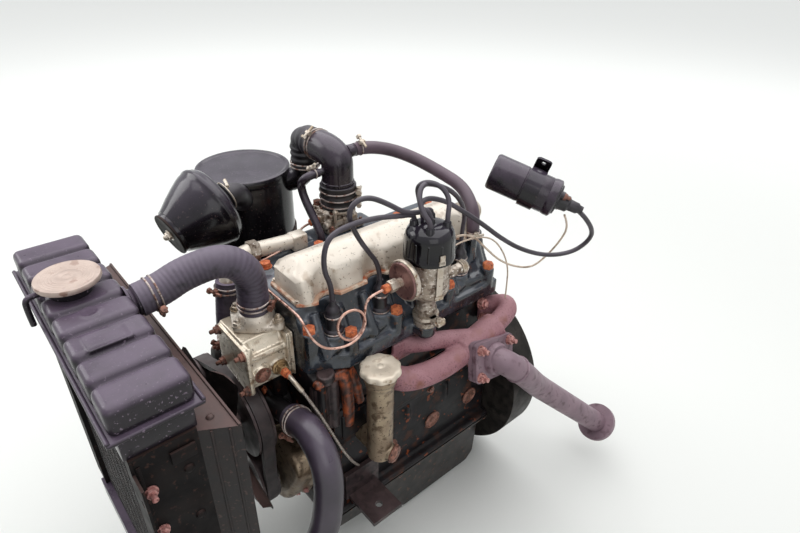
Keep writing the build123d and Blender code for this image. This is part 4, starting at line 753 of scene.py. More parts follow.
def water_pump():
    """The pump's casting with its inlet and bypass necks."""
    form = bmesh.new()
    turned(form, (0, -46, PUMP_Z), BACK, [(12.6, 0), (25, 0), (26, 2), (26, 12), (38, 15), (40, 18), (40, 45),
        (12.6, 45)])
    slab(form, (-30, 30), (-26, -1), (PUMP_Z + 20, 222), 5, 3)
    bar(form, (18, -28, PUMP_Z + 14), INLET_START, 17, 2)
    bar(form, INLET_START, INLET_END, 18, 1)
    hose(form, [(-20, -16, 186), (-52, -48, 206), (-52, -50, 215), BYPASS_LOW], 14, 8, 20)
    bar(form, BYPASS_LOW, (-52, -50, 262), 12.6, 1)
    finished(form, "water_pump_casting", BLOCK_PAINT, "block_paint", ["water_pump"])
    bolts("water_pump_bolts", ORANGE_BOLT, "bare_steel", [(PUMP_BOLT_CIRCLE * cos(angle), -29,
        PUMP_Z + PUMP_BOLT_CIRCLE * sin(angle)) for angle in map(radians, (20, 80, 150, 215, 300))],
        FRONT, 10, 6, 7)


def heater_pipe():
    """The return pipe beside the rocker cover, with its nut."""
    start = onwards(BYPASS_BEND, BYPASS_HIGH, 6)
    turn = onwards(BYPASS_BEND, BYPASS_HIGH, 44)
    form = bmesh.new()
    hose(form, [start, turn, (-76, -8, 372), (-78, 40, 366), (-78, 84, 362)], 12.6, 14, 28)
    slab(form, (-90, -66), (84, 112), (345.5, 373), 4, 3)
    finished(form, "heater_return_pipe", COVER_SILVER, "pipe_steel", ["heater_pipe"])
    bolts("heater_pipe_nut", BRIGHT_ALLOY, "pipe_steel", [(-77, 10, 369)], (0, 1, -0.1), 30, 16)


# ---------------------------------------------------------------- castings

def pocket(d, radius):
    """How far a spark plug's round pocket reaches from the plug's axis at a place along the engine."""
    nearest = min(abs(d - middle) for middle in BORES)
    return (radius * radius - nearest * nearest) ** 0.5 if nearest < radius else 0.0


def rocker_cover():
    """A narrow pressing over the near half of the head, with a hollow round each plug."""
    form = bmesh.new()
    rings = []
    ends = [12, 12.6, 14, 16, 18.5, 21.5, 25, 28.5, 32, 36, 39.6]
    places = ends + [43 + 4.15 * step for step in range(68)] + [364 - d for d in reversed(ends)]
    for d in places:
        end = min(d - 12, 352 - d)
        limit = 379 + 24.4 * min(1.0, end / 22)
        shrink = 9 * max(0.0, 1 - end / 11) ** 2
        near = [min(wide - shrink, PLUG_X - pocket(d, 26)) for wide in (73.5, 70.5, 67)]
        fold = 401.4 - 0.72 * (near[2] - 43)
        rings.append([(x, d, min(z, limit + x * 0.001)) for x, z in ((-12 + shrink, 349), (-11 + shrink, 364),
            (-8 + shrink, 378), (-2, 388), (8, 396), (18, 401.4), (25, 403.3), (32, 403.2), (38, 402.2),
            (43, 399.8), (near[2] - 6, fold + 2.2), (near[2] - 2.4, fold - 0.8), (near[2] - 0.6, fold - 3.4),
            (near[1], 366), (near[0], 349))])
    lofted(form, rings)
    finished(form, "rocker_cover_pressing", COVER_SILVER, "cover_paint", ["rocker_cover"], crease=50)
    form = bmesh.new()
    outline = [(-8, 7), (-14, 13), (-14, 351), (-8, 357)]
    for step in range(101):
        d = 357 - 3.5 * step
        end = min(d - 7, 357 - d)
        outline.append((min(78 - 14 * max(0.0, 1 - end / 34) ** 2, PLUG_X - pocket(d, 19.5)), d))
    drawn(form, outline, 345.2, LIP_TOP, "z")
    rounded(form, [e for e in form.edges if all(v.co.z > LIP_TOP - 0.6 for v in e.verts)], 1.6)
    finished(form, "rocker_cover_lip", LIP_RUST, "cover_paint", ["rocker_cover"], crease=30)
    screws = ((60, 12), (-9, 16), (-12.5, 100), (-12.5, 182), (-12.5, 264), (-9, 348), (60, 352))
    bolts("rocker_cover_screws", WORN_PLATE, "cover_paint", [(*screw, LIP_TOP) for screw in screws],
        UP, 7.5, 4, 5)


HEAD_POSTS = ((84, 12, 311), (105, 70, 292), (105, 157, 292), (105, 271, 292), (105, 367, 292))


def cylinder_head():
    """The casting with its bolt posts, plug wells and swellings, and its bolts."""
    form = bmesh.new()
    slab(form, (-88, 66), (0, 387), (268.5, 344.5), 3, 2)
    drawn(form, [(60, 240), (60, 344), (66.5, 344), (78, 308), (88, 290), (101, 273), (109, 258),
        (109, 240)], 52, 386)
    drawn(form, [(60, 240), (60, 344), (66.5, 344), (76, 306), (84, 288), (88, 270), (88, 240)], 1, 56)
    drawn(form, [(50, 1), (86, 1), (92, 8), (106, 44), (114, 60), (115, 76), (115, 386), (50, 386)],
        237, 264, "z")
    for x, d, z in HEAD_POSTS:
        bar(form, (x, d, 250), (x, d, z), 11.5, 1.5)
        bar(form, (x - 8, d, z - 34), (66, d, 324), 11, 3)
    for d in BORES:
        bar(form, (PLUG_X, d, 250), (PLUG_X, d, 292.5), 18, 2)
        hose(form, [(72, d - 26, 330), (88, d - 30, 300), (104, d - 26, 266)], 9, 8, 14)
    for low, high in ((26, 54), (70, 141), (157, 228), (271, 315), (315, 367)):
        hose(form, [(92, low, 274), (99, (low + high) / 2, 270), (92, high, 274)], 11, 6, 14)
    slab(form, (CARB[0] - 28, -80), (128, 264), (300, 344.5), 7, 3)
    wrapped(form, [(104, 202, 22), (124, 202, 18)], [(240, -2), (243, 0), (261, 0)], "z")
    bar(form, (*BREATHER, 300), (*BREATHER, 346), 9, 1.5)
    for d in (60, 200, 330):
        bar(form, (-84, d, 306), (-91, d, 306), 16, 1.5)
    for d in HEAD_BOLT_BACKS:
        bar(form, (FAR_BOLT_X, d, 340), (FAR_BOLT_X, d, 350), 12, 2)
    cast(form, "cylinder_head_casting", HEAD_PAINT, "head_paint", ["cylinder_head"], 2.4, 5)
    form = bmesh.new()
    for x, d, z in HEAD_POSTS:
        hex_head(form, (x, d, z - 0.5), UP, 17, 9.5)
    for d in HEAD_BOLT_BACKS:
        hex_head(form, (FAR_BOLT_X, d, 349.5), UP, 15, 9, 10)
    finished(form, "head_bolts", ORANGE_BOLT, "bare_steel")


def cylinder_block():
    """The casting, its rusted front corner, its top boss and its core plugs."""
    form = bmesh.new()
    drawn(form, [(-110, -68), (110, -68), (110, 30), (102, 62), (102, 238), (-86, 267), (-86, 70),
        (-110, 30)], 1, 394)
    slab(form, (-128, 128), (0.5, 394.5), (-70, -58), 3, 2)
    for x, d, top in ((104, 12, 232), (104, 383, 140), (-88, 12, 236), (-88, 383, 236)):
        bar(form, (x, d, 40), (x, d, top), 8, 3)
    for d in (96, 188, 282):
        slab(form, (100, 110), (d - 5, d + 5), (-60, 70), 3, 2)
        slab(form, (-112, -100), (d - 5, d + 5), (-60, 60), 3, 2)
    for d in BORES:
        bar(form, (-84, d, FAR_PLUG_Z), (FAR_PLUG_FACE, d, FAR_PLUG_Z), 20, 2)
    slab(form, (96, 108), (6, 389), (156, 163), 3, 2)
    for d in CORE_PLUG_BACKS:
        bar(form, (104, d, CORE_PLUG_Z), (CORE_PLUG_FACE, d, CORE_PLUG_Z), 20, 2)
    cast(form, "cylinder_block_casting", BLOCK_PAINT, "block_paint", ["cylinder_block"], 3.0, 3)
    form = bmesh.new()
    slab(form, (84, 112), (1, 60), (221, 236), 5, 3)
    hose(form, [(106, 52, 226), (110, 56, 196), (109, 58, 150), (106, 58, 116)], 10, 10, 20)
    hose(form, [(100, 66, 226), (108, 76, 200), (106, 82, 150)], 8, 10, 20)
    cast(form, "block_front_corner", CORNER_RUST, "block_paint", [], 2.0, 4)
    form = bmesh.new()
    bar(form, (96, 14, 120), (96, 14, 224), 14, 5)
    bar(form, (98, 36, 120), (98, 36, 222), 11, 4)
    bar(form, (102, 24, 226), (104, 22, 243), 14, 1.5)
    cast(form, "block_top_boss", DARK_STEEL, "block_paint", [], 1.8, 3)
    form = bmesh.new()
    for d in CORE_PLUG_BACKS:
        turned(form, (CORE_PLUG_FACE, d, CORE_PLUG_Z), NEAR, [(0, 0), (18, 0), (18, 1.6), (16, 2.4),
            (14, 0.6), (5, 0.5), (4, 1.8), (0, 2)], 32)
    for d in BORES:
        turned(form, (FAR_PLUG_FACE, d, FAR_PLUG_Z), (-1, 0, 0), [(0, 0), (17, 0), (17, 1.4), (15, 2),
            (13, 0.5), (0, 0.5)], 32)
    finished(form, "core_plugs", BROWN_BOLT, "brass")


def side_cover():
    """The pressed valve cover and its bolts."""
    form = bmesh.new()
    slab(form, (104.2, 107.5), (30, 375), (76, 152), 1.2)
    slab(form, (106, 111), (44, 361), (88, 140), 3, 3)
    finished(form, "valve_cover_pressing", BLOCK_PAINT, "block_paint", ["valve_side_cover"])
    bolts("valve_cover_bolts", BROWN_BOLT, "bare_steel", [(107.5, d, z) for d in (120, 240, 360)
        for z in (82, 146)], NEAR, 11, 6, 8)


def timing_cover():
    """The stepped alloy cover and its bolts."""
    form = bmesh.new()
    circles = [(0, 0, 80), (-60, 34, 38), (78, 56, 36), (0, -14, 66)]
    wrapped(form, circles, [(-8, 0), (-1, 0)])
    wrapped(form, circles, [(-41, -13), (-38, -9), (-30, -6), (-6, -6)])
    turned(form, (0, -47, 0), BACK, [(25, 0), (42, 0), (44, 2), (44, 10), (25, 10)])
    wrapped(form, [(77, 66, 14), (140, 44, 11)], [(-17, 0), (-7, 0)])
    cast(form, "timing_cover_casting", BROWN_ALLOY, "alloy", ["timing_cover"], 2.2, 4)
    form = bmesh.new()
    for x, z in ((108, 60), (96, 84), (70, 92), (92, 28), (72, -30), (40, -70), (-40, -70), (-76, -24),
            (-94, 30), (-78, 64), (-30, 82)):
        # Drawn in by 3%, so that the heads stay clear of the flange's edge.
        hex_head(form, (x * 0.97, -8.5, z * 0.97), FRONT, 10, 6, 7)
    hex_head(form, (140, -18, 44), FRONT, 13, 8, 9, 6)
    finished(form, "timing_cover_bolts", PINK_BOLT, "bare_steel")


# ---------------------------------------------------------------- exhaust

PIPE_START = Vector((LOG_X + 34, 304, PORT_Z - 8))
PIPE_DIRECTION = Vector((0.18, 0.70, -0.69)).normalized()
FLANGE_FACE = Vector((0.936, 0.05, 0.266)).normalized()
FLANGE_LONG = Vector((0, 0.984, -0.18)).normalized()
FLANGE_HIGH = FLANGE_FACE.cross(FLANGE_LONG).normalized()


def oblong_flange(form, low, high):
    """A round-cornered plate across the manifold's outlet, between two heights off its face."""
    corners = []
    for a, b, turn in ((1, 1, 0), (-1, 1, 1), (-1, -1, 2), (1, -1, 3)):
        for k in range(5):
            angle = pi / 2 * (turn + k / 4)
            corners.append(PIPE_START + FLANGE_LONG * (a * 38 + 10 * cos(angle))
                + FLANGE_HIGH * (b * 25 + 10 * sin(angle)))
    lofted(form, [[corner + FLANGE_FACE * t for corner in corners] for t in (low, high)])


def down_pipe(off, along):
    """A place off the flange's face and along the pipe."""
    return PIPE_START + FLANGE_FACE * off + PIPE_DIRECTION * along


def port(x, d, z):
    """A place counted from the manifold's log in x and from the ports' height in z."""
    return (LOG_X + x, d, PORT_Z + z)


def exhaust():
    """The manifold, the flanged joint, the front tube and the nuts."""
    form = bmesh.new()
    hose(form, [port(-52, 126, 14), port(-16, 130, 4), port(3, 172, 0), port(8, 240, 0), port(4, 312, 12)],
        20, 14, 28)
    hose(form, [port(4, 262, 3), port(3, 300, 9), port(3, 346, 20)], 26, 10, 28)
    hose(form, [port(-52, 168, 33), port(-28, 196, 37), port(-18, 250, 28), port(0, 300, 16)], 15, 14, 24)
    hose(form, [port(3, 320, 14), port(6, 372, 34), port(-10, 390, 42), port(-32, 384, 30),
        port(-52, 368, 22)], 17.5, 14, 26)
    bar(form, port(6, 294, 4), PIPE_START, 26, 2)
    for d, z in ((126, PORT_Z + 14), (168, PORT_Z + 33), (372, PORT_Z + 22)):
        slab(form, (104, 113), (d - 22, d + 22), (z - 20, z + 18), 6, 3)
    cast(form, "exhaust_manifold_casting", MANIFOLD_RUST, "rust", ["exhaust_manifold"], 2.1, 5)
    form = bmesh.new()
    oblong_flange(form, -8, 0)
    finished(form, "manifold_outlet_flange", PIPE_SCALE, "rust", ["exhaust_manifold"])

    form = bmesh.new()
    oblong_flange(form, 1.2, 10)
    turned(form, PIPE_START, FLANGE_FACE, [(0, 9), (28, 9), (28, 14), (25, 20), (0, 20)], 44)
    hose(form, [down_pipe(*place) for place in ((8, 0), (24, 5), (31, 26), (30, 56), (20, 96), (8, 134),
        (1, 168), (0, 190))], 22.2, 28, 40)
    bar(form, down_pipe(31, 38), down_pipe(30.6, 43), 24.4, 1.6, steps=40)
    turned(form, PIPE_START + PIPE_DIRECTION * 10, PIPE_DIRECTION,
        [(19.5, 150), (22.2, 150), (22.2, 420), (40, 420), (40, 430), (19.5, 430), (19.5, 150)], 44)
    finished(form, "exhaust_front_tube", PIPE_SCALE, "pipe_steel", ["exhaust_front_pipe"])
    form = bmesh.new()
    for a in (-37, 37):
        for b in (-24, 24):
            hex_head(form, down_pipe(10, 0) + FLANGE_LONG * a + FLANGE_HIGH * b, FLANGE_FACE, 14, 9, 9, 8)
    for d, z in ((110, PORT_Z + 14), (147, PORT_Z + 20), (185, PORT_Z + 34), (355, PORT_Z + 12),
            (389, PORT_Z + 12)):
        hex_head(form, (112.5, d, z), NEAR, 12, 8, 9, 6)
    hex_head(form, (114, 350, PORT_Z + 44), (1, 0, 0.4), 17, 10, 11, 4)
    finished(form, "exhaust_nuts", PINK_BOLT, "rust")


# ---------------------------------------------------------------- ignition

def distributor():
    """Body, clamp, clips, cap and vacuum capsule."""
    x, d = DIST
    form = bmesh.new()
    turned(form, (x, d, DIST_BASE), UP, [(0, 0), (19, 0), (19, 7), (15.5, 9), (15, 22), (17, 24), (17, 32),
        (15, 34), (15, 46), (18, 52), (26, 58), (30, 61), (31.5, 64), (31.5, 67), (34, 69), (34, 74),
        (33, 75), (33, 78), (34, 79), (34, 84), (33, 85), (33, 88), (34, 89), (34, 94), (33, 95), (33, 110),
        (34, 112), (34, 123), (0, 123)], 48)
    root, knob = (x + 18, d, VACUUM_Z - 9), (x + 26, d + 44, VACUUM_Z)
    bar(form, root, knob, 8.5, 1.2)
    bar(form, (x - 8, d + 26, 372), (x - 14, d + 42, 374), 5, 0.8)
    finished(form, "distributor_casting", BRIGHT_ALLOY, "alloy", ["distributor_body"])
    form = bmesh.new()
    turned(form, (x, d, DIST_BASE), UP, [(15, 14), (21, 14), (21, 20), (15, 20), (15, 14)], 40)
    slab(form, (x + 12, x + 38), (d - 8, d + 8), (275, 282), 2)
    hex_head(form, (x + 31, d, 282), UP, 10, 5)
    bar(form, (x + 30, d - 10, 279), (x + 30, d + 12, 279), 3, 0.5)
    axis = Vector(knob) - Vector(root)
    turned(form, onwards(root, knob, -1), axis, [(8, 0), (10.6, 0), (11, 1), (10, 2.4), (11, 4), (10, 5.4),
        (11, 7), (10, 8.4), (8, 11), (0, 11)], 28)
    finished(form, "distributor_clamp_and_knob", WORN_PLATE, "alloy")
    form = bmesh.new()
    for angle in (-14, 166):
        out = Vector((cos(radians(angle)), sin(radians(angle)), 0))
        side = Vector((-out.y, out.x, 0))
        for near, far, low, high, wide in ((34.6, 36.4, 330, 392, 5), (36, 40.4, 390, 396, 5),
                (38.6, 40.4, 392, 406, 4), (33, 37.5, 328, 334, 7)):
            corners = ((near, -wide), (far, -wide), (far, wide), (near, wide))
            lofted(form, [[Vector((x, d, 0)) + out * reach + side * across + Vector((0, 0, z))
                for reach, across in corners] for z in (low, high)])
    finished(form, "distributor_clips", WORN_PLATE, "alloy", crease=30)

    form = bmesh.new()
    turned(form, (x, d, CAP_Z), UP, [(0, 0), (37.5, 0), (39, 1), (39, 7), (37.8, 9), (37.4, 34), (36.4, 41),
        (33.6, 47), (28.6, 51.4), (21, 54.4), (12, 56), (0, 56.6)], 72)
    for step in range(12):
        angle = 2 * pi * (step + 0.5) / 12
        bar(form, (x + 36.6 * cos(angle), d + 36.6 * sin(angle), CAP_Z + 6),
            (x + 35.6 * cos(angle), d + 35.6 * sin(angle), CAP_Z + 36), 2.4, 1.0, steps=12)
    for k in range(4):
        a, b, _ = tower(k, 0)
        bar(form, (a, b, CAP_Z + 40), (a, b, TOWER_TOP), 7.6, 1.4, 6.0)
    bar(form, (x, d, CAP_Z + 48), (x, d, TOWER_TOP + 2), 7.6, 1.4, 6.4)
    finished(form, "distributor_cap_moulding", PHENOLIC, "cap_plastic", ["distributor_cap"])

    front = CAPSULE_START
    form = bmesh.new()
    turned(form, (x, front, VACUUM_Z), BACK, [(0, 34), (10, 34), (12, 34.4), (22, 36.2), (25, 35), (28, 35),
        (29.5, 36.4), (30.6, 38), (30.6, 44), (29.5, 46), (24, 47), (20, 49), (10, 51), (9, 54), (0, 54)], 52)
    finished(form, "vacuum_capsule", CAPSULE_BROWN, "plated_steel", ["vacuum_unit"])
    form = bmesh.new()
    turned(form, (x, front + 41, VACUUM_Z), BACK, [(30.2, -4), (31.8, -3.6), (32.5, -2), (32.5, 2.4),
        (31.5, 4.4), (30.2, 4.6), (30.2, -4)], 52)
    bar(form, (x, front + 26, VACUUM_Z), (x, front + 36, VACUUM_Z), 7, 0.8)
    hex_head(form, (x, front + 11, VACUUM_Z), BACK, 16.5, 15)
    bar(form, (x, d - 42, VACUUM_Z), (x, d - 26, VACUUM_Z), 10, 0.8)
    finished(form, "vacuum_union", WORN_PLATE, "plated_steel", ["vacuum_unit"])
    bolts("vacuum_pipe_nut", ORANGE_BOLT, "brass", [(x, front + 1, VACUUM_Z)], BACK, 11.5, 10,
        nodes=["vacuum_unit"])


def plug_covers():
    """Rubber covers over the spark plugs, each held by two wire rings."""
    form = bmesh.new()
    for d in BORES:
        turned(form, (PLUG_X, d, PLUG_SEAT), UP, [(0, 0), (14.6, 0), (15.2, 1.5), (15.2, 5), (14, 7),
            (11.8, 8.5), (11.4, 12), (11.6, 26), (12.6, 28), (12.6, 32), (11, 34), (10.4, 36), (10.8, 38),
            (10, 42), (7, 46), (5.4, 49), (5.0, 56), (0, 56)], 32)
    finished(form, "plug_covers", BLACK_RUBBER, "black_rubber", ["spark_plugs"])
    form = bmesh.new()
    for d in BORES:
        turned(form, (PLUG_X, d, PLUG_SEAT + 30), UP, [(12, -2), (13.2, -1), (13.2, 1), (12, 2),
            (12, -2)], 32)
        turned(form, (PLUG_X, d, PLUG_SEAT + 2.5), UP, [(15, -1.2), (16, -0.6), (16, 0.6), (15, 1.2),
            (15, -1.2)], 32)
    finished(form, "plug_cover_rings", WIRE_CLIP, "bare_steel")


def tower(index, z):
    """A place over one of the distributor cap's four outer towers."""
    angle = radians(45 + 90 * index)
    return (DIST[0] + 24 * cos(angle), DIST[1] + 24 * sin(angle), z)


TOWER_TOP = CAP_Z + 60
TOWER_RISE = TOWER_TOP + 7
PLUG_RISE = PLUG_TOP + 34


def plug_top(number, z=PLUG_TOP):
    """A place over a spark plug's cover."""
    return (PLUG_X, BORES[number], z)


LEADS = (
    (plug_top(0), plug_top(0, PLUG_RISE), (85, bore(0, -12), 401), (87, bore(0, -12), 434),
     (90, bore(0, -2), 457), (97, bore(0, 30), 467), (104, bore(0, 66), 467), (108, bore(0, 104), 459),
     tower(2, TOWER_RISE + 1), tower(2, TOWER_TOP)),
    (plug_top(1), plug_top(1, PLUG_RISE), (86, bore(1, -27), 411), (88, bore(1, -48), 446),
     (90, bore(1, -60), 478), (93, bore(1, -50), 496), (98, bore(1, -30), 498), (106, bore(1, -8), 486),
     (110, bore(1, 24), 462), (108, bore(1, 54), 453), tower(1, TOWER_RISE), tower(1, TOWER_TOP)),
    (tower(0, TOWER_TOP), tower(0, TOWER_RISE + 2), (134, DIST[1] + 26, 474), (122, DIST[1] + 20, 492),
     (108, DIST[1] + 3, 499), (99, DIST[1] - 7, 490), (94, DIST[1] + 4, 464), (87, DIST[1] + 20, 428),
     plug_top(2, PLUG_RISE), plug_top(2)),
    (tower(3, TOWER_TOP), tower(3, TOWER_RISE + 1), (133, DIST[1] - 24, 466), (119, DIST[1] - 21, 484),
     (109, DIST[1] - 6, 498), (107, DIST[1] + 22, 489), (104, DIST[1] + 62, 466),
     (100, DIST[1] + 90, 436), (92, DIST[1] + 108, 404), plug_top(3, PLUG_RISE), plug_top(3)),
)
COIL_FOOT = (113.0, 341.0, 482.0)
COIL_HEAD = (202.0, 391.0, 452.0)
COIL_UP = Vector((0.5, -0.4, 0.77))
COIL_NOSE = onwards(COIL_FOOT, COIL_HEAD, 20)
COIL_LEAD = ((DIST[0], DIST[1], TOWER_TOP + 2), (DIST[0] - 1, DIST[1] - 3, TOWER_TOP + 15),
    (119, DIST[1] - 18, 467), (116, DIST[1] - 10, 477), (116, DIST[1] + 10, 474), (119, DIST[1] + 37, 461),
    (125, DIST[1] + 69, 437), (136, DIST[1] + 103, 409), (148, bore(3, 20), 381), (162, bore(3, 60), 351),
    (182, bore(3, 108), 330), (206, bore(3, 146), 334), (226, bore(3, 156), 362), (238, bore(3, 140), 394),
    onwards(COIL_FOOT, COIL_NOSE, 16), COIL_NOSE)
WIRE_POST = (DIST[0] - 14, DIST[1] + 42, 374)
COIL_TERMINAL = onwards(COIL_FOOT, COIL_HEAD, 2)
SWITCH_WIRE = (WIRE_POST, (DIST[0] - 16.5, DIST[1] + 48.5, 374.8), (112, bore(2, 36), 388),
    (122, bore(3, -40), 396), (128, bore(3, -17), 386), (134, bore(3, 3), 362), (141, bore(3, 36), 328),
    (149, bore(3, 72), 306), (160, bore(3, 104), 298), (173, bore(3, 121), 320), (188, bore(3, 132), 354),
    (204, bore(3, 122), 392), (COIL_TERMINAL[0] + 12, COIL_TERMINAL[1] + 7, 428))
BOND_WIRE = ((DIST[0] - 10, DIST[1] + 32.6, 356), (DIST[0] - 14, DIST[1] + 44, 357), (110, bore(2, 42), 374),
    (122, bore(3, -14), 381), (130, bore(3, 20), 374), (136, bore(3, 46), 344), (138, bore(3, 66), 303),
    (139, bore(3, 68), 262), (139, bore(3, 68), 238))


def leads():
    """Four plug leads, the coil's lead and two thin wires."""
    for letter, places in zip("abcd", LEADS):
        cable(f"plug_lead_{letter}", places, 3.8, LEAD_SHEATH, ["plug_leads"])
    cable("coil_lead", COIL_LEAD, 3.8, LEAD_SHEATH, ["plug_leads"])
    cable("switch_wire", SWITCH_WIRE, 1.7, CREAM_WIRE, ["thin_wires"])
    cable("bond_wire", BOND_WIRE, 1.3, CREAM_WIRE, ["thin_wires"])


def ignition_coil():
    """The rolled can, its moulded end and its two terminals."""
    axis = Vector(COIL_HEAD) - Vector(COIL_FOOT)
    length = axis.length
    ahead = axis.normalized()
    form = bmesh.new()
    turned(form, COIL_FOOT, axis, [(0, 0), (23, 0), (24, -1), (26, -1), (27.6, 0.6), (28.4, 3), (28.4, 50),
        (27.6, 50.8), (27.6, 52), (28.4, 52.8), (28.4, length - 16), (27.8, length - 15), (28.6, length - 13),
        (29.3, length - 10), (29.3, length - 3), (27.6, length - 1), (25, length), (0, length)], 56)
    finished(form, "coil_can", MAUVE_ENAMEL, "black_paint", ["ignition_coil"])
    form = bmesh.new()
    turned(form, COIL_HEAD, axis, [(0, -2), (24.5, -2), (23, 2.4), (15, 4), (13, 8), (12.4, 18), (9, 21),
        (8.4, 34), (6.6, 36), (6, 42), (0, 42)], 36)
    up = (COIL_UP - ahead * ahead.dot(COIL_UP)).normalized()
    for sign in (-1, 1):
        turned(form, Vector(COIL_HEAD) + up * 17 * sign, axis, [(0, 0), (6.4, 0), (6.4, 7), (0, 7)], 20)
    finished(form, "coil_end_moulding", BLACK_RUBBER, "black_paint", ["ignition_coil"])
    bolts("coil_terminals", BROWN_BOLT, "bare_steel", [Vector(COIL_HEAD) + up * 17 * sign + ahead * 7
        for sign in (-1, 1)], axis, 9, 5, 6, 6)


# ---------------------------------------------------------------- intake

ELBOW_LOW = 407.0
SPIGOT_Z = 478.0
VENT_END = (CARB[0] - 4, CARB[1] - 34, 453.0)
AIR_Z = 480.0
OUTLET_Z = 400.0
CLEANER_SIDE = Vector((0.665, 0.747, 0))
OUTLET_BEND = Vector((CLEANER[0], CLEANER[1], OUTLET_Z)) + CLEANER_SIDE * 113
AIR_BEND = Vector((OUTLET_BEND.x, OUTLET_BEND.y, AIR_Z))
ELBOW_BEND = Vector((CARB[0], CARB[1], AIR_Z))
AIR_MOUTH = Vector(onwards(AIR_BEND, ELBOW_BEND, -46))


def carburettor():
    """The die-cast body with its screws, fuel union and throttle lever."""
    x, d = CARB
    form = bmesh.new()
    slab(form, (x - 28, x + 26), (d - 36, d + 36), (345.5, 354), 2, 2)
    slab(form, (x - 22, x + 14), (d - 28, d + 28), (352, 380), 5, 3)
    slab(form, (x - 33, x), (d - 41, d - 6), (356, 376), 4, 3)
    turned(form, (x, d, 376), UP, [(0, 0), (24, 0), (24, 5), (22, 7), (22, 29), (0, 29)])
    bar(form, (x - 10, d + 20, 366), (x - 10, d + 38, 366), 9, 1.5)
    bar(form, (x - 30, d - 24, 366), (x - 30, d - 24, 384), 9, 1.5)
    bar(form, (x + 10, d - 26, 360), (x + 10, d - 38, 360), 8, 1.5)
    bar(form, (x + 14, d - 4, 366), (x + 24, d - 4, 366), 7, 1.5)
    slab(form, (x - 10, x + 22), (d + 6, d + 26), (356, 374), 5, 3)
    cast(form, "carburettor_casting", BRIGHT_ALLOY, "alloy", ["carburettor"], 1.5, 3)
    form = bmesh.new()
    for a, b in ((-24, -30), (22, -30), (-24, 30), (22, 30)):
        hex_head(form, (x + a, d + b, 353.5), UP, 9, 5, 6, 4)
    for a, b in ((-18, -22), (10, -22), (-18, 22), (10, 22)):
        turned(form, (x + a, d + b, 379.5), UP, [(0, 0), (4.2, 0), (4.2, 2.4), (3, 3.2), (0, 3.2)], 14)
    hex_head(form, (x - 30, d - 24, 384), UP, 14, 7)
    finished(form, "carburettor_screws", BROWN_BOLT, "alloy")
    form = bmesh.new()
    for back, flats, height in ((-41, 15, 9), (-50, 11, 7)):
        hex_head(form, (x - 6, d + back, 367), FRONT, flats, height)
    finished(form, "carburettor_union", ORANGE_BOLT, "brass")
    form = bmesh.new()
    slab(form, (x + 20, x + 23), (d - 24, d + 22), (361, 371), 1, 2)
    bar(form, (x + 21.5, d - 22, 366), (x + 21.5, d - 22, 384), 2.6, 0.5, steps=14)
    turned(form, (x + 21.5, d - 22, 384), UP, [(0, 0), (4.6, 1), (5, 4), (3.4, 7), (0, 8)], 16)
    finished(form, "throttle_lever", WORN_PLATE, "bare_steel")


def air_elbow():
    """The pressed elbow over the carburettor, with its seams' welts and two spigots."""
    x, d = CARB
    form = bmesh.new()
    hose(form, [(x, d, ELBOW_LOW), (x, d, 440), ELBOW_BEND, AIR_MOUTH], 26.6, 16, 40)
    bar(form, (x, d + 20, SPIGOT_Z), (x, d + 35, SPIGOT_Z), 10.8, 1)
    bar(form, (VENT_END[0], VENT_END[1] + 14, VENT_END[2]), VENT_END, 6, 0.8)
    turned(form, (x, d, 430), UP, [(26, 0), (27.6, 0.8), (28, 2), (27.6, 3.2), (26, 4), (26, 0)])
    for side in (-1, 1):
        flank = Vector((0.86, -0.5, 0)) * 26.0 if side < 0 else Vector((0, 26.0, 0))
        hose(form, [Vector((x, d, 410)) + flank, Vector((x, d, 446)) + flank,
            Vector((x, d, AIR_Z + 3)) + flank * 0.94, AIR_MOUTH + Vector((0, flank.y, 8))], 2.2, 12, 10)
    finished(form, "air_elbow_pressing", MAUVE_ENAMEL, "black_paint", ["air_elbow"], crease=60)


def intake_hoses():
    """The ribbed joint under the elbow, the air hose to the cleaner and their clips."""
    x, d = CARB
    form = bmesh.new()
    turned(form, (x, d, 387), UP, [(23, 0), (31, 0), (31, 6), (29.8, 8), (29.8, 13), (31, 15), (31, 20),
        (29.8, 22), (29.8, 27), (31, 29), (31, 39), (30, 40), (26.8, 40), (26.8, 0)], 48)
    low = Vector((OUTLET_BEND.x, OUTLET_BEND.y, OUTLET_Z + 26))
    hose(form, [AIR_MOUTH, AIR_MOUTH.lerp(AIR_BEND, 0.35), AIR_BEND, AIR_BEND.lerp(low, 0.55), low], 24.4, 16,
        36, lambda s: 0.9 * sin(2 * pi * s / 11.0))
    finished(form, "rubber_intake_joints", BLACK_RUBBER, "black_rubber", ["intake_hoses"])
    rings, lugs = bmesh.new(), bmesh.new()
    for z in (393, 405, 417):
        wire_clip(rings, lugs, (x, d, z), UP, 31.4, (0.72, 0.7, 0), 1)
    wire_clip(rings, lugs, AIR_MOUTH.lerp(AIR_BEND, 0.12), AIR_BEND - AIR_MOUTH, 26.2, (0, -0.6, 0.8), 2)
    wire_clip(rings, lugs, low + Vector((0, 0, 8)), UP, 25.6, (0.4, 0.9, 0), 2)
    finished(rings, "intake_clip_rings", WIRE_CLIP, "bare_steel")
    finished(lugs, "intake_clip_screws", WORN_PLATE, "bare_steel")


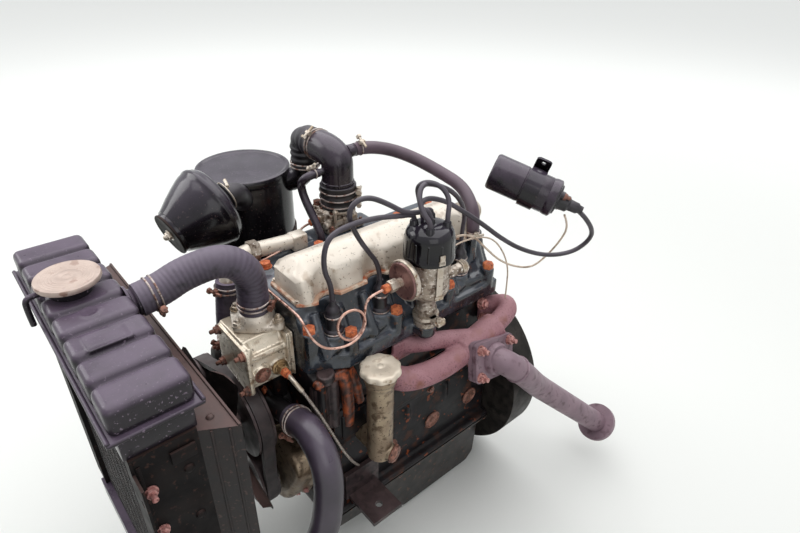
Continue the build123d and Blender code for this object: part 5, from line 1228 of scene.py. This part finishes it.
def air_cleaner():
    """The canister with its rolled rim, outlet and the wire round it."""
    x, d = CLEANER
    form = bmesh.new()
    turned(form, (x, d, CANISTER_BASE), UP, [(0, 0), (76, 0), (82, 3), (83, 8), (83, 21), (88, 22), (88, 25),
        (88, 28), (84, 30), (84, 172), (83.4, 174), (84, 176), (84, 185), (82.6, 188.6), (79.5, 190),
        (77, 189.6), (75, 188), (72, 187.6), (40, 188.4), (0, 188.8)], 88)
    hose(form, [Vector((x, d, OUTLET_Z)) + CLEANER_SIDE * 70, OUTLET_BEND,
        Vector((OUTLET_BEND.x, OUTLET_BEND.y, OUTLET_Z + 42))], 20.8, 14, 32)
    finished(form, "air_cleaner_canister", BLACK_ENAMEL, "black_paint", ["air_cleaner"])
    form = bmesh.new()
    turned(form, (x, d, CANISTER_BASE + 28), UP, [(84, 0), (86.4, 0), (87.2, 1), (86.4, 2.2),
        (84, 2.2), (84, 0)], 72)
    finished(form, "canister_wire", WIRE_CLIP, "bare_steel")


CONE_BIG = Vector((-176.0, 4.0, 412.0))
CONE_SMALL = Vector((-168.0, -72.0, 388.0))


def pre_cleaner():
    """The cone in front of the canister, its neck, end plate and nut."""
    axis = CONE_SMALL - CONE_BIG
    length = axis.length
    ahead = axis.normalized()
    form = bmesh.new()
    turned(form, CONE_BIG, axis, [(0, -16), (46, -16), (50, -15), (59, -12), (64, -6), (66, -1), (67.6, 0.6),
        (68, 3.5), (67.6, 6.4), (66.2, 8), (65.2, 14), (62, 23), (56, 36), (48, 52), (41, 64), (37, 72),
        (35.4, length - 8), (34.6, length - 3), (34, length - 2), (0, length - 2)], 72)
    finished(form, "pre_cleaner_cone", BLACK_ENAMEL, "worn_black_paint", ["pre_cleaner"])
    form = bmesh.new()
    hose(form, [onwards(CONE_SMALL, CONE_BIG, 10), onwards(CONE_SMALL, CONE_BIG, 44),
        (CLEANER[0] + 64, CLEANER[1] - 38, 391), (CLEANER[0] + 56, CLEANER[1] - 32, 390)], 20, 14, 32)
    for reach in (16, 30):
        turned(form, CONE_BIG - ahead * reach, axis, [(20, -3), (23, -2.4), (23, 2.4), (20, 3), (20, -3)], 40)
    finished(form, "pre_cleaner_neck", BLACK_RUBBER, "black_rubber", ["pre_cleaner"])
    form = bmesh.new()
    turned(form, CONE_SMALL, axis, [(0, -3), (34.5, -3), (35.5, -2), (35.5, 0), (34.5, 1), (31, 1), (29, 0.2),
        (14, 0), (0, 0)], 52)
    finished(form, "pre_cleaner_end_plate", DULL_BLACK, "worn_black_paint", ["pre_cleaner"])
    form = bmesh.new()
    turned(form, CONE_SMALL - ahead * 0.4, axis, [(0, 0), (9.5, 0), (9.5, 1.4), (0, 1.4)], 24)
    hex_head(form, CONE_SMALL + ahead, axis, 12, 5)
    turned(form, CONE_SMALL + ahead * 5.6, axis, [(0, 0), (5, 0), (4.6, 3), (3, 5.4), (0, 6.2)], 20)
    turned(form, CONE_BIG - ahead * 30, axis, [(23, -1.2), (24.4, -0.6), (24.4, 0.6), (23, 1.2),
        (23, -1.2)], 40)
    bar(form, CONE_BIG - ahead * 30 + Vector((14, -2, 21)), CONE_BIG - ahead * 30 + Vector((-4, 2, 25)), 3,
        0.6, steps=14)
    finished(form, "pre_cleaner_nut", WORN_PLATE, "bare_steel")


def breather():
    """The breather hose, the vent tube, their clips and the filter."""
    tube("breather_hose_rubber", BREATHER_RUBBER, "black_rubber", ["breather_hose"],
        [(CARB[0], CARB[1] + 35, SPIGOT_Z), (CARB[0], CARB[1] + 60, SPIGOT_Z), (-86, bore(3, -12), 466),
        (-58, bore(3, 22), 449), (-18, bore(3, 46), 430), (28, bore(3, 54), 418), (66, bore(3, 42), 396),
        (*BREATHER, 372), (*BREATHER, 346)], 11, 12, 28)
    tube("vent_tube", MAUVE_ENAMEL, "black_rubber", ["breather_hose"],
        [(-74, bore(1, 1), 345), (-74, bore(1, 1), 359), (-128, bore(1, -3), 424),
        (VENT_END[0], VENT_END[1] - 26, VENT_END[2]), VENT_END], 7, 14, 24)
    rings, lugs = bmesh.new(), bmesh.new()
    wire_clip(rings, lugs, (CARB[0], CARB[1] + 46, SPIGOT_Z), BACK, 11.2, (0.5, 0, 0.86), 1)
    wire_clip(rings, lugs, (*BREATHER, 358), UP, 11.2, (0.9, -0.4, 0), 1)
    wire_clip(rings, lugs, (VENT_END[0], VENT_END[1] - 8, VENT_END[2]), BACK, 7.2, (-0.6, 0, 0.8), 1)
    finished(rings, "breather_clip_rings", WIRE_CLIP, "bare_steel")
    finished(lugs, "breather_clip_screws", WORN_PLATE, "bare_steel")
    form = bmesh.new()
    profile = [(0, 0), (13, 0), (13, 8), (17, 10)]
    for ridge in range(5):
        profile += [(20, 11 + 7 * ridge), (21, 12.4 + 7 * ridge), (20.6, 15 + 7 * ridge),
            (18, 17 + 7 * ridge)]
    turned(form, (32, 352, 368), BACK, profile + [(18, 47), (16, 48), (0, 48)], 44)
    finished(form, "breather_filter_body", COVER_SILVER, "plated_steel", ["breather_filter"], crease=60)


# ---------------------------------------------------------------- pipes, oil

def small_pipes():
    """The vacuum pipe, from the capsule round the head's front to the carburettor."""
    cable("vacuum_pipe", [(DIST[0], CAPSULE_START, VACUUM_Z), (DIST[0], bore(0, 43), VACUUM_Z),
        (121, bore(0, 32), 352), (120, bore(0, 30), 330), (119, bore(0, 28), 302), (119, bore(0, 6), 291),
        (118, bore(0, -14), 310), (117, bore(0, -16), 332), (118, bore(0, -4), 347), (120, bore(0, 16), 346),
        (124, bore(0, 28), 332), (126, bore(0, 26), 310), (126, bore(0, 4), 292), (119, 21, 296),
        (113, 2, 316), (105, -5, 339), (92, -5, 349), (70, -5, 350.5), (8, -5, 349), (-26, -5, 350),
        (-60, -2, 352), (-66, 24, 353), (-68, 66, 358), (-78, 94, 366), (-98, 116, 364),
        (CARB[0] - 6, 134, 366), (CARB[0] - 6, CARB[1] - 42, 367)], 1.9, COPPER, ["copper_pipes"])


def oil_filler():
    """The filler casting, its side plug and the lobed cap."""
    x, d = FILLER
    form = bmesh.new()
    turned(form, (x, d, 60), UP, [(0, 0), (18, 0), (21, 3), (21, 152), (22, 156), (23.5, 158), (23.5, 161),
        (22.5, 163), (25, 165), (26, 167), (26, 176), (0, 176)], 44)
    bar(form, (103, d, 80), (x, d, 80), 18, 1.5)
    bar(form, (x, d, 78), (x + 23, d + 9, 75), 14, 2)
    cast(form, "oil_filler_casting", BROWN_ALLOY, "worn_black_paint", ["oil_filler_tube"], 1.5, 3)
    form = bmesh.new()
    turned(form, (x + 22, d + 8.6, 75), (0.93, 0.36, -0.1), [(0, 0), (16, 0), (16.4, 2), (15, 3.4), (14.6, 6),
        (11, 8.5), (5, 9.6), (0, 9.8)], 36)
    finished(form, "filler_side_plug", BROWN_BOLT, "bare_steel")
    form = bmesh.new()
    turns = [2 * pi * k / 100 for k in range(100)]
    rings = []
    for z, base, lobe in ((239, 29.4, 0.3), (240, 30.6, 0.8), (242.5, 31.2, 1.1), (246.5, 31.0, 1.1),
            (248.4, 30.2, 1.0), (249.6, 28.6, 0.6), (250.4, 25, 0.1), (251.2, 9, 0), (250.5, 7.6, 0),
            (250.5, 4.4, 0), (251.4, 3.4, 0), (251.6, 2, 0)):
        rings.append([(x + (base + lobe * cos(10 * a)) * cos(a), d + (base + lobe * cos(10 * a)) * sin(a), z)
            for a in turns])
    lofted(form, rings)
    finished(form, "filler_cap_lobed", FILLER_PLATE, "dark_steel", ["oil_filler_cap"], crease=50)


def oil_filter():
    """The bowl, its bracket and its drain bolt."""
    form = bmesh.new()
    turned(form, (-138, 240, 66), UP, [(0, 0), (14, 0), (34, 4), (39, 12), (40, 20), (40, 126), (41, 128),
        (41, 134), (38, 136), (0, 136)], 48)
    slab(form, (-158, -88.5), (222, 258), (202, 224), 6, 3)
    hex_head(form, (-138, 240, 60), (0, 0, -1), 20, 6)
    finished(form, "oil_filter_bowl", DULL_BLACK, "worn_black_paint", ["oil_filter"])


# ---------------------------------------------------------------- electrics and drive

def dynamo():
    """The casing with its end brackets, through bolts and feet."""
    x, z = DYNAMO
    form = bmesh.new()
    turned(form, (x, -40, z), BACK, [(9, 0), (30, 0), (40, 2), (49, 6), (50, 9), (50, 20), (48.6, 21),
        (48.6, 24), (49.4, 25), (49.4, 158), (48.6, 159), (48.6, 162), (50, 163), (50, 184), (46, 190),
        (20, 192), (0, 192)], 56)
    wrapped(form, [(x, z, 20), (x + 6, z + 64, 9)], [(-36, -1), (-35, 0), (-29, 0), (-28, -1)])
    for low in (-36, 138):
        wrapped(form, [(x, z, 20), (x + 8, z - 62, 10)], [(low, -1), (low + 1, 0), (low + 11, 0),
            (low + 12, -1)])
    finished(form, "dynamo_casing", DULL_BLACK, "worn_black_paint", ["dynamo"])
    form = bmesh.new()
    hex_head(form, (x + 6, -36, z + 64), FRONT, 13, 7, 9, 4)
    for low in (-36, 150):
        hex_head(form, (x + 8, low, z - 62), (0, -1 if low < 0 else 1, 0), 13, 7, 9, 4)
    for angle in (60, 240):
        hex_head(form, (x + 36 * cos(radians(angle)), 151, z + 36 * sin(radians(angle))), BACK, 9, 5, 6)
    finished(form, "dynamo_bolts", BROWN_BOLT, "bare_steel")


def starter():
    """The casing, its flange bolts and its terminal."""
    x, z = STARTER
    form = bmesh.new()
    turned(form, (x, 205, z), BACK, [(0, 0), (20, 0), (22, 2), (44, 3), (47, 6), (48, 10), (48, 36),
        (46.8, 37), (46.8, 40), (48, 41), (48, 164), (46.8, 165), (46.8, 168), (48, 170), (48, 189.5),
        (0, 189.5)], 52)
    finished(form, "starter_casing", DULL_BLACK, "worn_black_paint", ["starter_motor"])
    form = bmesh.new()
    for z_low in (-48, 12):
        hex_head(form, (x - 40, 389, z_low), FRONT, 13, 7, 9)
    turned(form, (x + 20, 204, z + 24), FRONT, [(0, 0), (7, 0), (7, 5), (3, 6), (3, 16), (0, 16)], 20)
    finished(form, "starter_terminals", COPPER, "copper")


def fan():
    """Four pitched blades on a hub."""
    form = bmesh.new()
    turned(form, (0, -112, PUMP_Z), BACK, [(0, 0), (14, 0), (15, 1), (33, 2), (34, 4), (34, 26), (0, 26)], 44)
    section = ((-1, -2.4), (-0.5, 2.2), (0, 4), (0.5, 2.2), (1, -2.4), (0.5, -0.2), (0, 1.6), (-0.5, -0.2))
    pitch = radians(BLADE_PITCH)
    angles = [radians(90 * k + FAN_TURN) for k in range(4)]
    for angle in angles:
        turn = Matrix.Translation((0, -108, PUMP_Z)) @ Matrix.Rotation(angle, 4, "Y")
        rings = []
        for reach, half in ((24, 18), (44, 24), (70, 27), (110, 27), (142, 26), (149, 21)):
            rings.append([turn @ Vector((u * half * cos(pitch) - w * sin(pitch),
                u * half * sin(pitch) + w * cos(pitch), reach)) for u, w in section])
        lofted(form, rings)
    finished(form, "fan_blades", BROWNED_BLACK, "worn_black_paint", ["fan"], body="fan", crease=30)
    bolts("fan_bolts", BROWN_BOLT, "bare_steel", [(FAN_BOLT_CIRCLE * sin(angle), -111,
        PUMP_Z + FAN_BOLT_CIRCLE * cos(angle)) for angle in angles], FRONT, 10, 6, 7, body="fan")


def rear_bolts():
    """The flywheel's bolts and those round the sump's flange."""
    bolts("flywheel_bolts", DARK_STEEL, "dark_steel", [(FLYWHEEL_BOLT_CIRCLE * cos(angle), 438,
        FLYWHEEL_BOLT_CIRCLE * sin(angle)) for angle in (radians(60 * k) for k in range(6))], BACK, 13,
        7, body="crank")
    bolts("sump_bolts", BROWN_BOLT, "bare_steel", [(x, d, -74) for d in range(20, 390, 46)
        for x in (-121, 121)], (0, 0, -1), 11, 6, 7)


for build in (header_tank, radiator_cap, radiator_core, radiator_sides, fan_cowl_trim, coolant_hoses,
        hose_clips, thermostat, gauge_capillary, water_pump, heater_pipe, rocker_cover, cylinder_head,
        cylinder_block, side_cover, timing_cover, exhaust, distributor, plug_covers, leads, ignition_coil,
        carburettor, air_elbow, intake_hoses, air_cleaner, pre_cleaner, breather, small_pipes, oil_filler,
        oil_filter, dynamo, starter, fan, rear_bolts):
    build()

# CAD nodes whose shape is right keep it and get their finish.
KEPT = {
    "sump": SUMP_PAINT, "flywheel_housing": OILY_AND_SHADED_ALLOY, "air_cleaner_bracket": DULL_BLACK,
    "coil_bracket": BLACK_ENAMEL, "dynamo_bracket": BROWN_BOLT, "engine_feet": DARK_STEEL,
    "drive_belt": BELT_RUBBER, "radiator_frame": DULL_BLACK, "bottom_tank": TANK_ENAMEL,
    "fan_cowl": BROWNED_BLACK, "crankshaft": DARK_STEEL, "crank_pulley": DARK_STEEL,
    "flywheel": DARK_STEEL, "pump_pulley": DARK_STEEL, "dynamo_pulley": DARK_STEEL,
}
for node, finish in KEPT.items():
    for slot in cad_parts[node].material_slots:
        slot.material = finish


# ---------------------------------------------------------------- camera and light

# The photograph's camera, fitted in pixels and metres: a focal length, an eye and its three axes.
FOCAL_PIXELS = 580.0
PHOTO_WIDTH = 800.0
SENSOR = 36.0
EYE = (0.6536, -0.7795, 0.8277)
EYE_RIGHT = Vector((0.6495198, 0.7600481, 0.0212349))
EYE_DOWN = Vector((0.4138566, -0.3299681, -0.8484360))
EYE_AHEAD = Vector((-0.6378453, 0.5598643, -0.5288718))


def camera():
    """Looks from the photograph's place."""
    view = bpy.data.cameras.new("photo_view")
    view.sensor_width = SENSOR
    view.lens = FOCAL_PIXELS / PHOTO_WIDTH * SENSOR
    view.clip_start = 0.01
    rig = bpy.data.objects.new("photo_view", view)
    turn = Matrix((EYE_RIGHT, -EYE_DOWN, -EYE_AHEAD)).transposed().to_4x4()
    rig.matrix_world = Matrix.Translation(EYE) @ turn
    scene.collection.objects.link(rig)
    scene.camera = rig


def lamp(name, place, aim, size, power):
    """A soft rectangular light, in metres and watts."""
    light = bpy.data.lights.new(name, "AREA")
    light.shape = "RECTANGLE"
    light.size, light.size_y = size
    light.energy = power
    holder = bpy.data.objects.new(name, light)
    turn = (Vector(aim) - Vector(place)).to_track_quat("-Z", "Y")
    holder.matrix_world = Matrix.Translation(place) @ turn.to_matrix().to_4x4()
    scene.collection.objects.link(holder)


def studio():
    """Three soft lights, a floor that fades into the background, and a sky that lights less than it shows."""
    lamp("sky_panel", (-0.4, 0.3, 3.0), (0, -0.2, 0.2), (5.0, 5.0), 150)
    lamp("key_panel", (-1.8, -1.6, 1.7), (0, -0.3, 0.2), (1.2, 1.2), 16)
    lamp("fill_panel", (2.2, -1.2, 1.4), (0, -0.3, 0.2), (1.6, 1.6), 9)
    form = bmesh.new()
    low = cad_bounds[0][2] - 0.002
    bmesh.ops.create_grid(form, x_segments=1, y_segments=1, size=30, matrix=Matrix.Translation((0, 0, low)))
    mesh = bpy.data.meshes.new("floor")
    form.to_mesh(mesh)
    form.free()
    floor = bpy.data.objects.new("floor", mesh)
    scene.collection.objects.link(floor)
    pale = bpy.data.materials.new("pale_floor")
    pale.use_nodes = True
    tree = pale.node_tree
    cloth = tree.nodes["Principled BSDF"]
    cloth.inputs["Base Color"].default_value = linear("#e6e7e4")
    cloth.inputs["Roughness"].default_value = 0.9
    cloth.inputs["Emission Color"].default_value = linear("#f2f3f2")
    away = add(tree, "ShaderNodeVectorMath", {0: add(tree, "ShaderNodeTexCoord").outputs["Object"]},
        operation="LENGTH").outputs["Value"]
    glow = add(tree, "ShaderNodeMapRange", {"Value": away, "From Min": 1.0, "From Max": 4.2, "To Max": 0.5},
        interpolation_type="SMOOTHSTEP").outputs[0]
    tree.links.new(glow, cloth.inputs["Emission Strength"])
    mesh.materials.append(pale)
    world = bpy.data.worlds.new("studio")
    world.use_nodes = True
    tree = world.node_tree
    tree.nodes.clear()
    path = add(tree, "ShaderNodeLightPath")
    seen = add(tree, "ShaderNodeMath", {0: path.outputs["Is Camera Ray"],
        1: path.outputs["Is Transmission Ray"]}, operation="MAXIMUM").outputs[0]
    plain = add(tree, "ShaderNodeMath", {0: seen, 1: path.outputs["Is Glossy Ray"]},
        operation="MAXIMUM").outputs[0]
    # What is lit without a mirror's gloss gets a dimmer sky than the one that shows.
    strength = add(tree, "ShaderNodeMapRange", {"Value": plain, "To Min": 0.42, "To Max": 0.9}).outputs[0]
    back = add(tree, "ShaderNodeBackground", {"Color": linear("#eef1f2"), "Strength": strength})
    add(tree, "ShaderNodeOutputWorld", {"Surface": back.outputs[0]})
    scene.world = world


camera()
studio()
scene.view_settings.view_transform = "Standard"
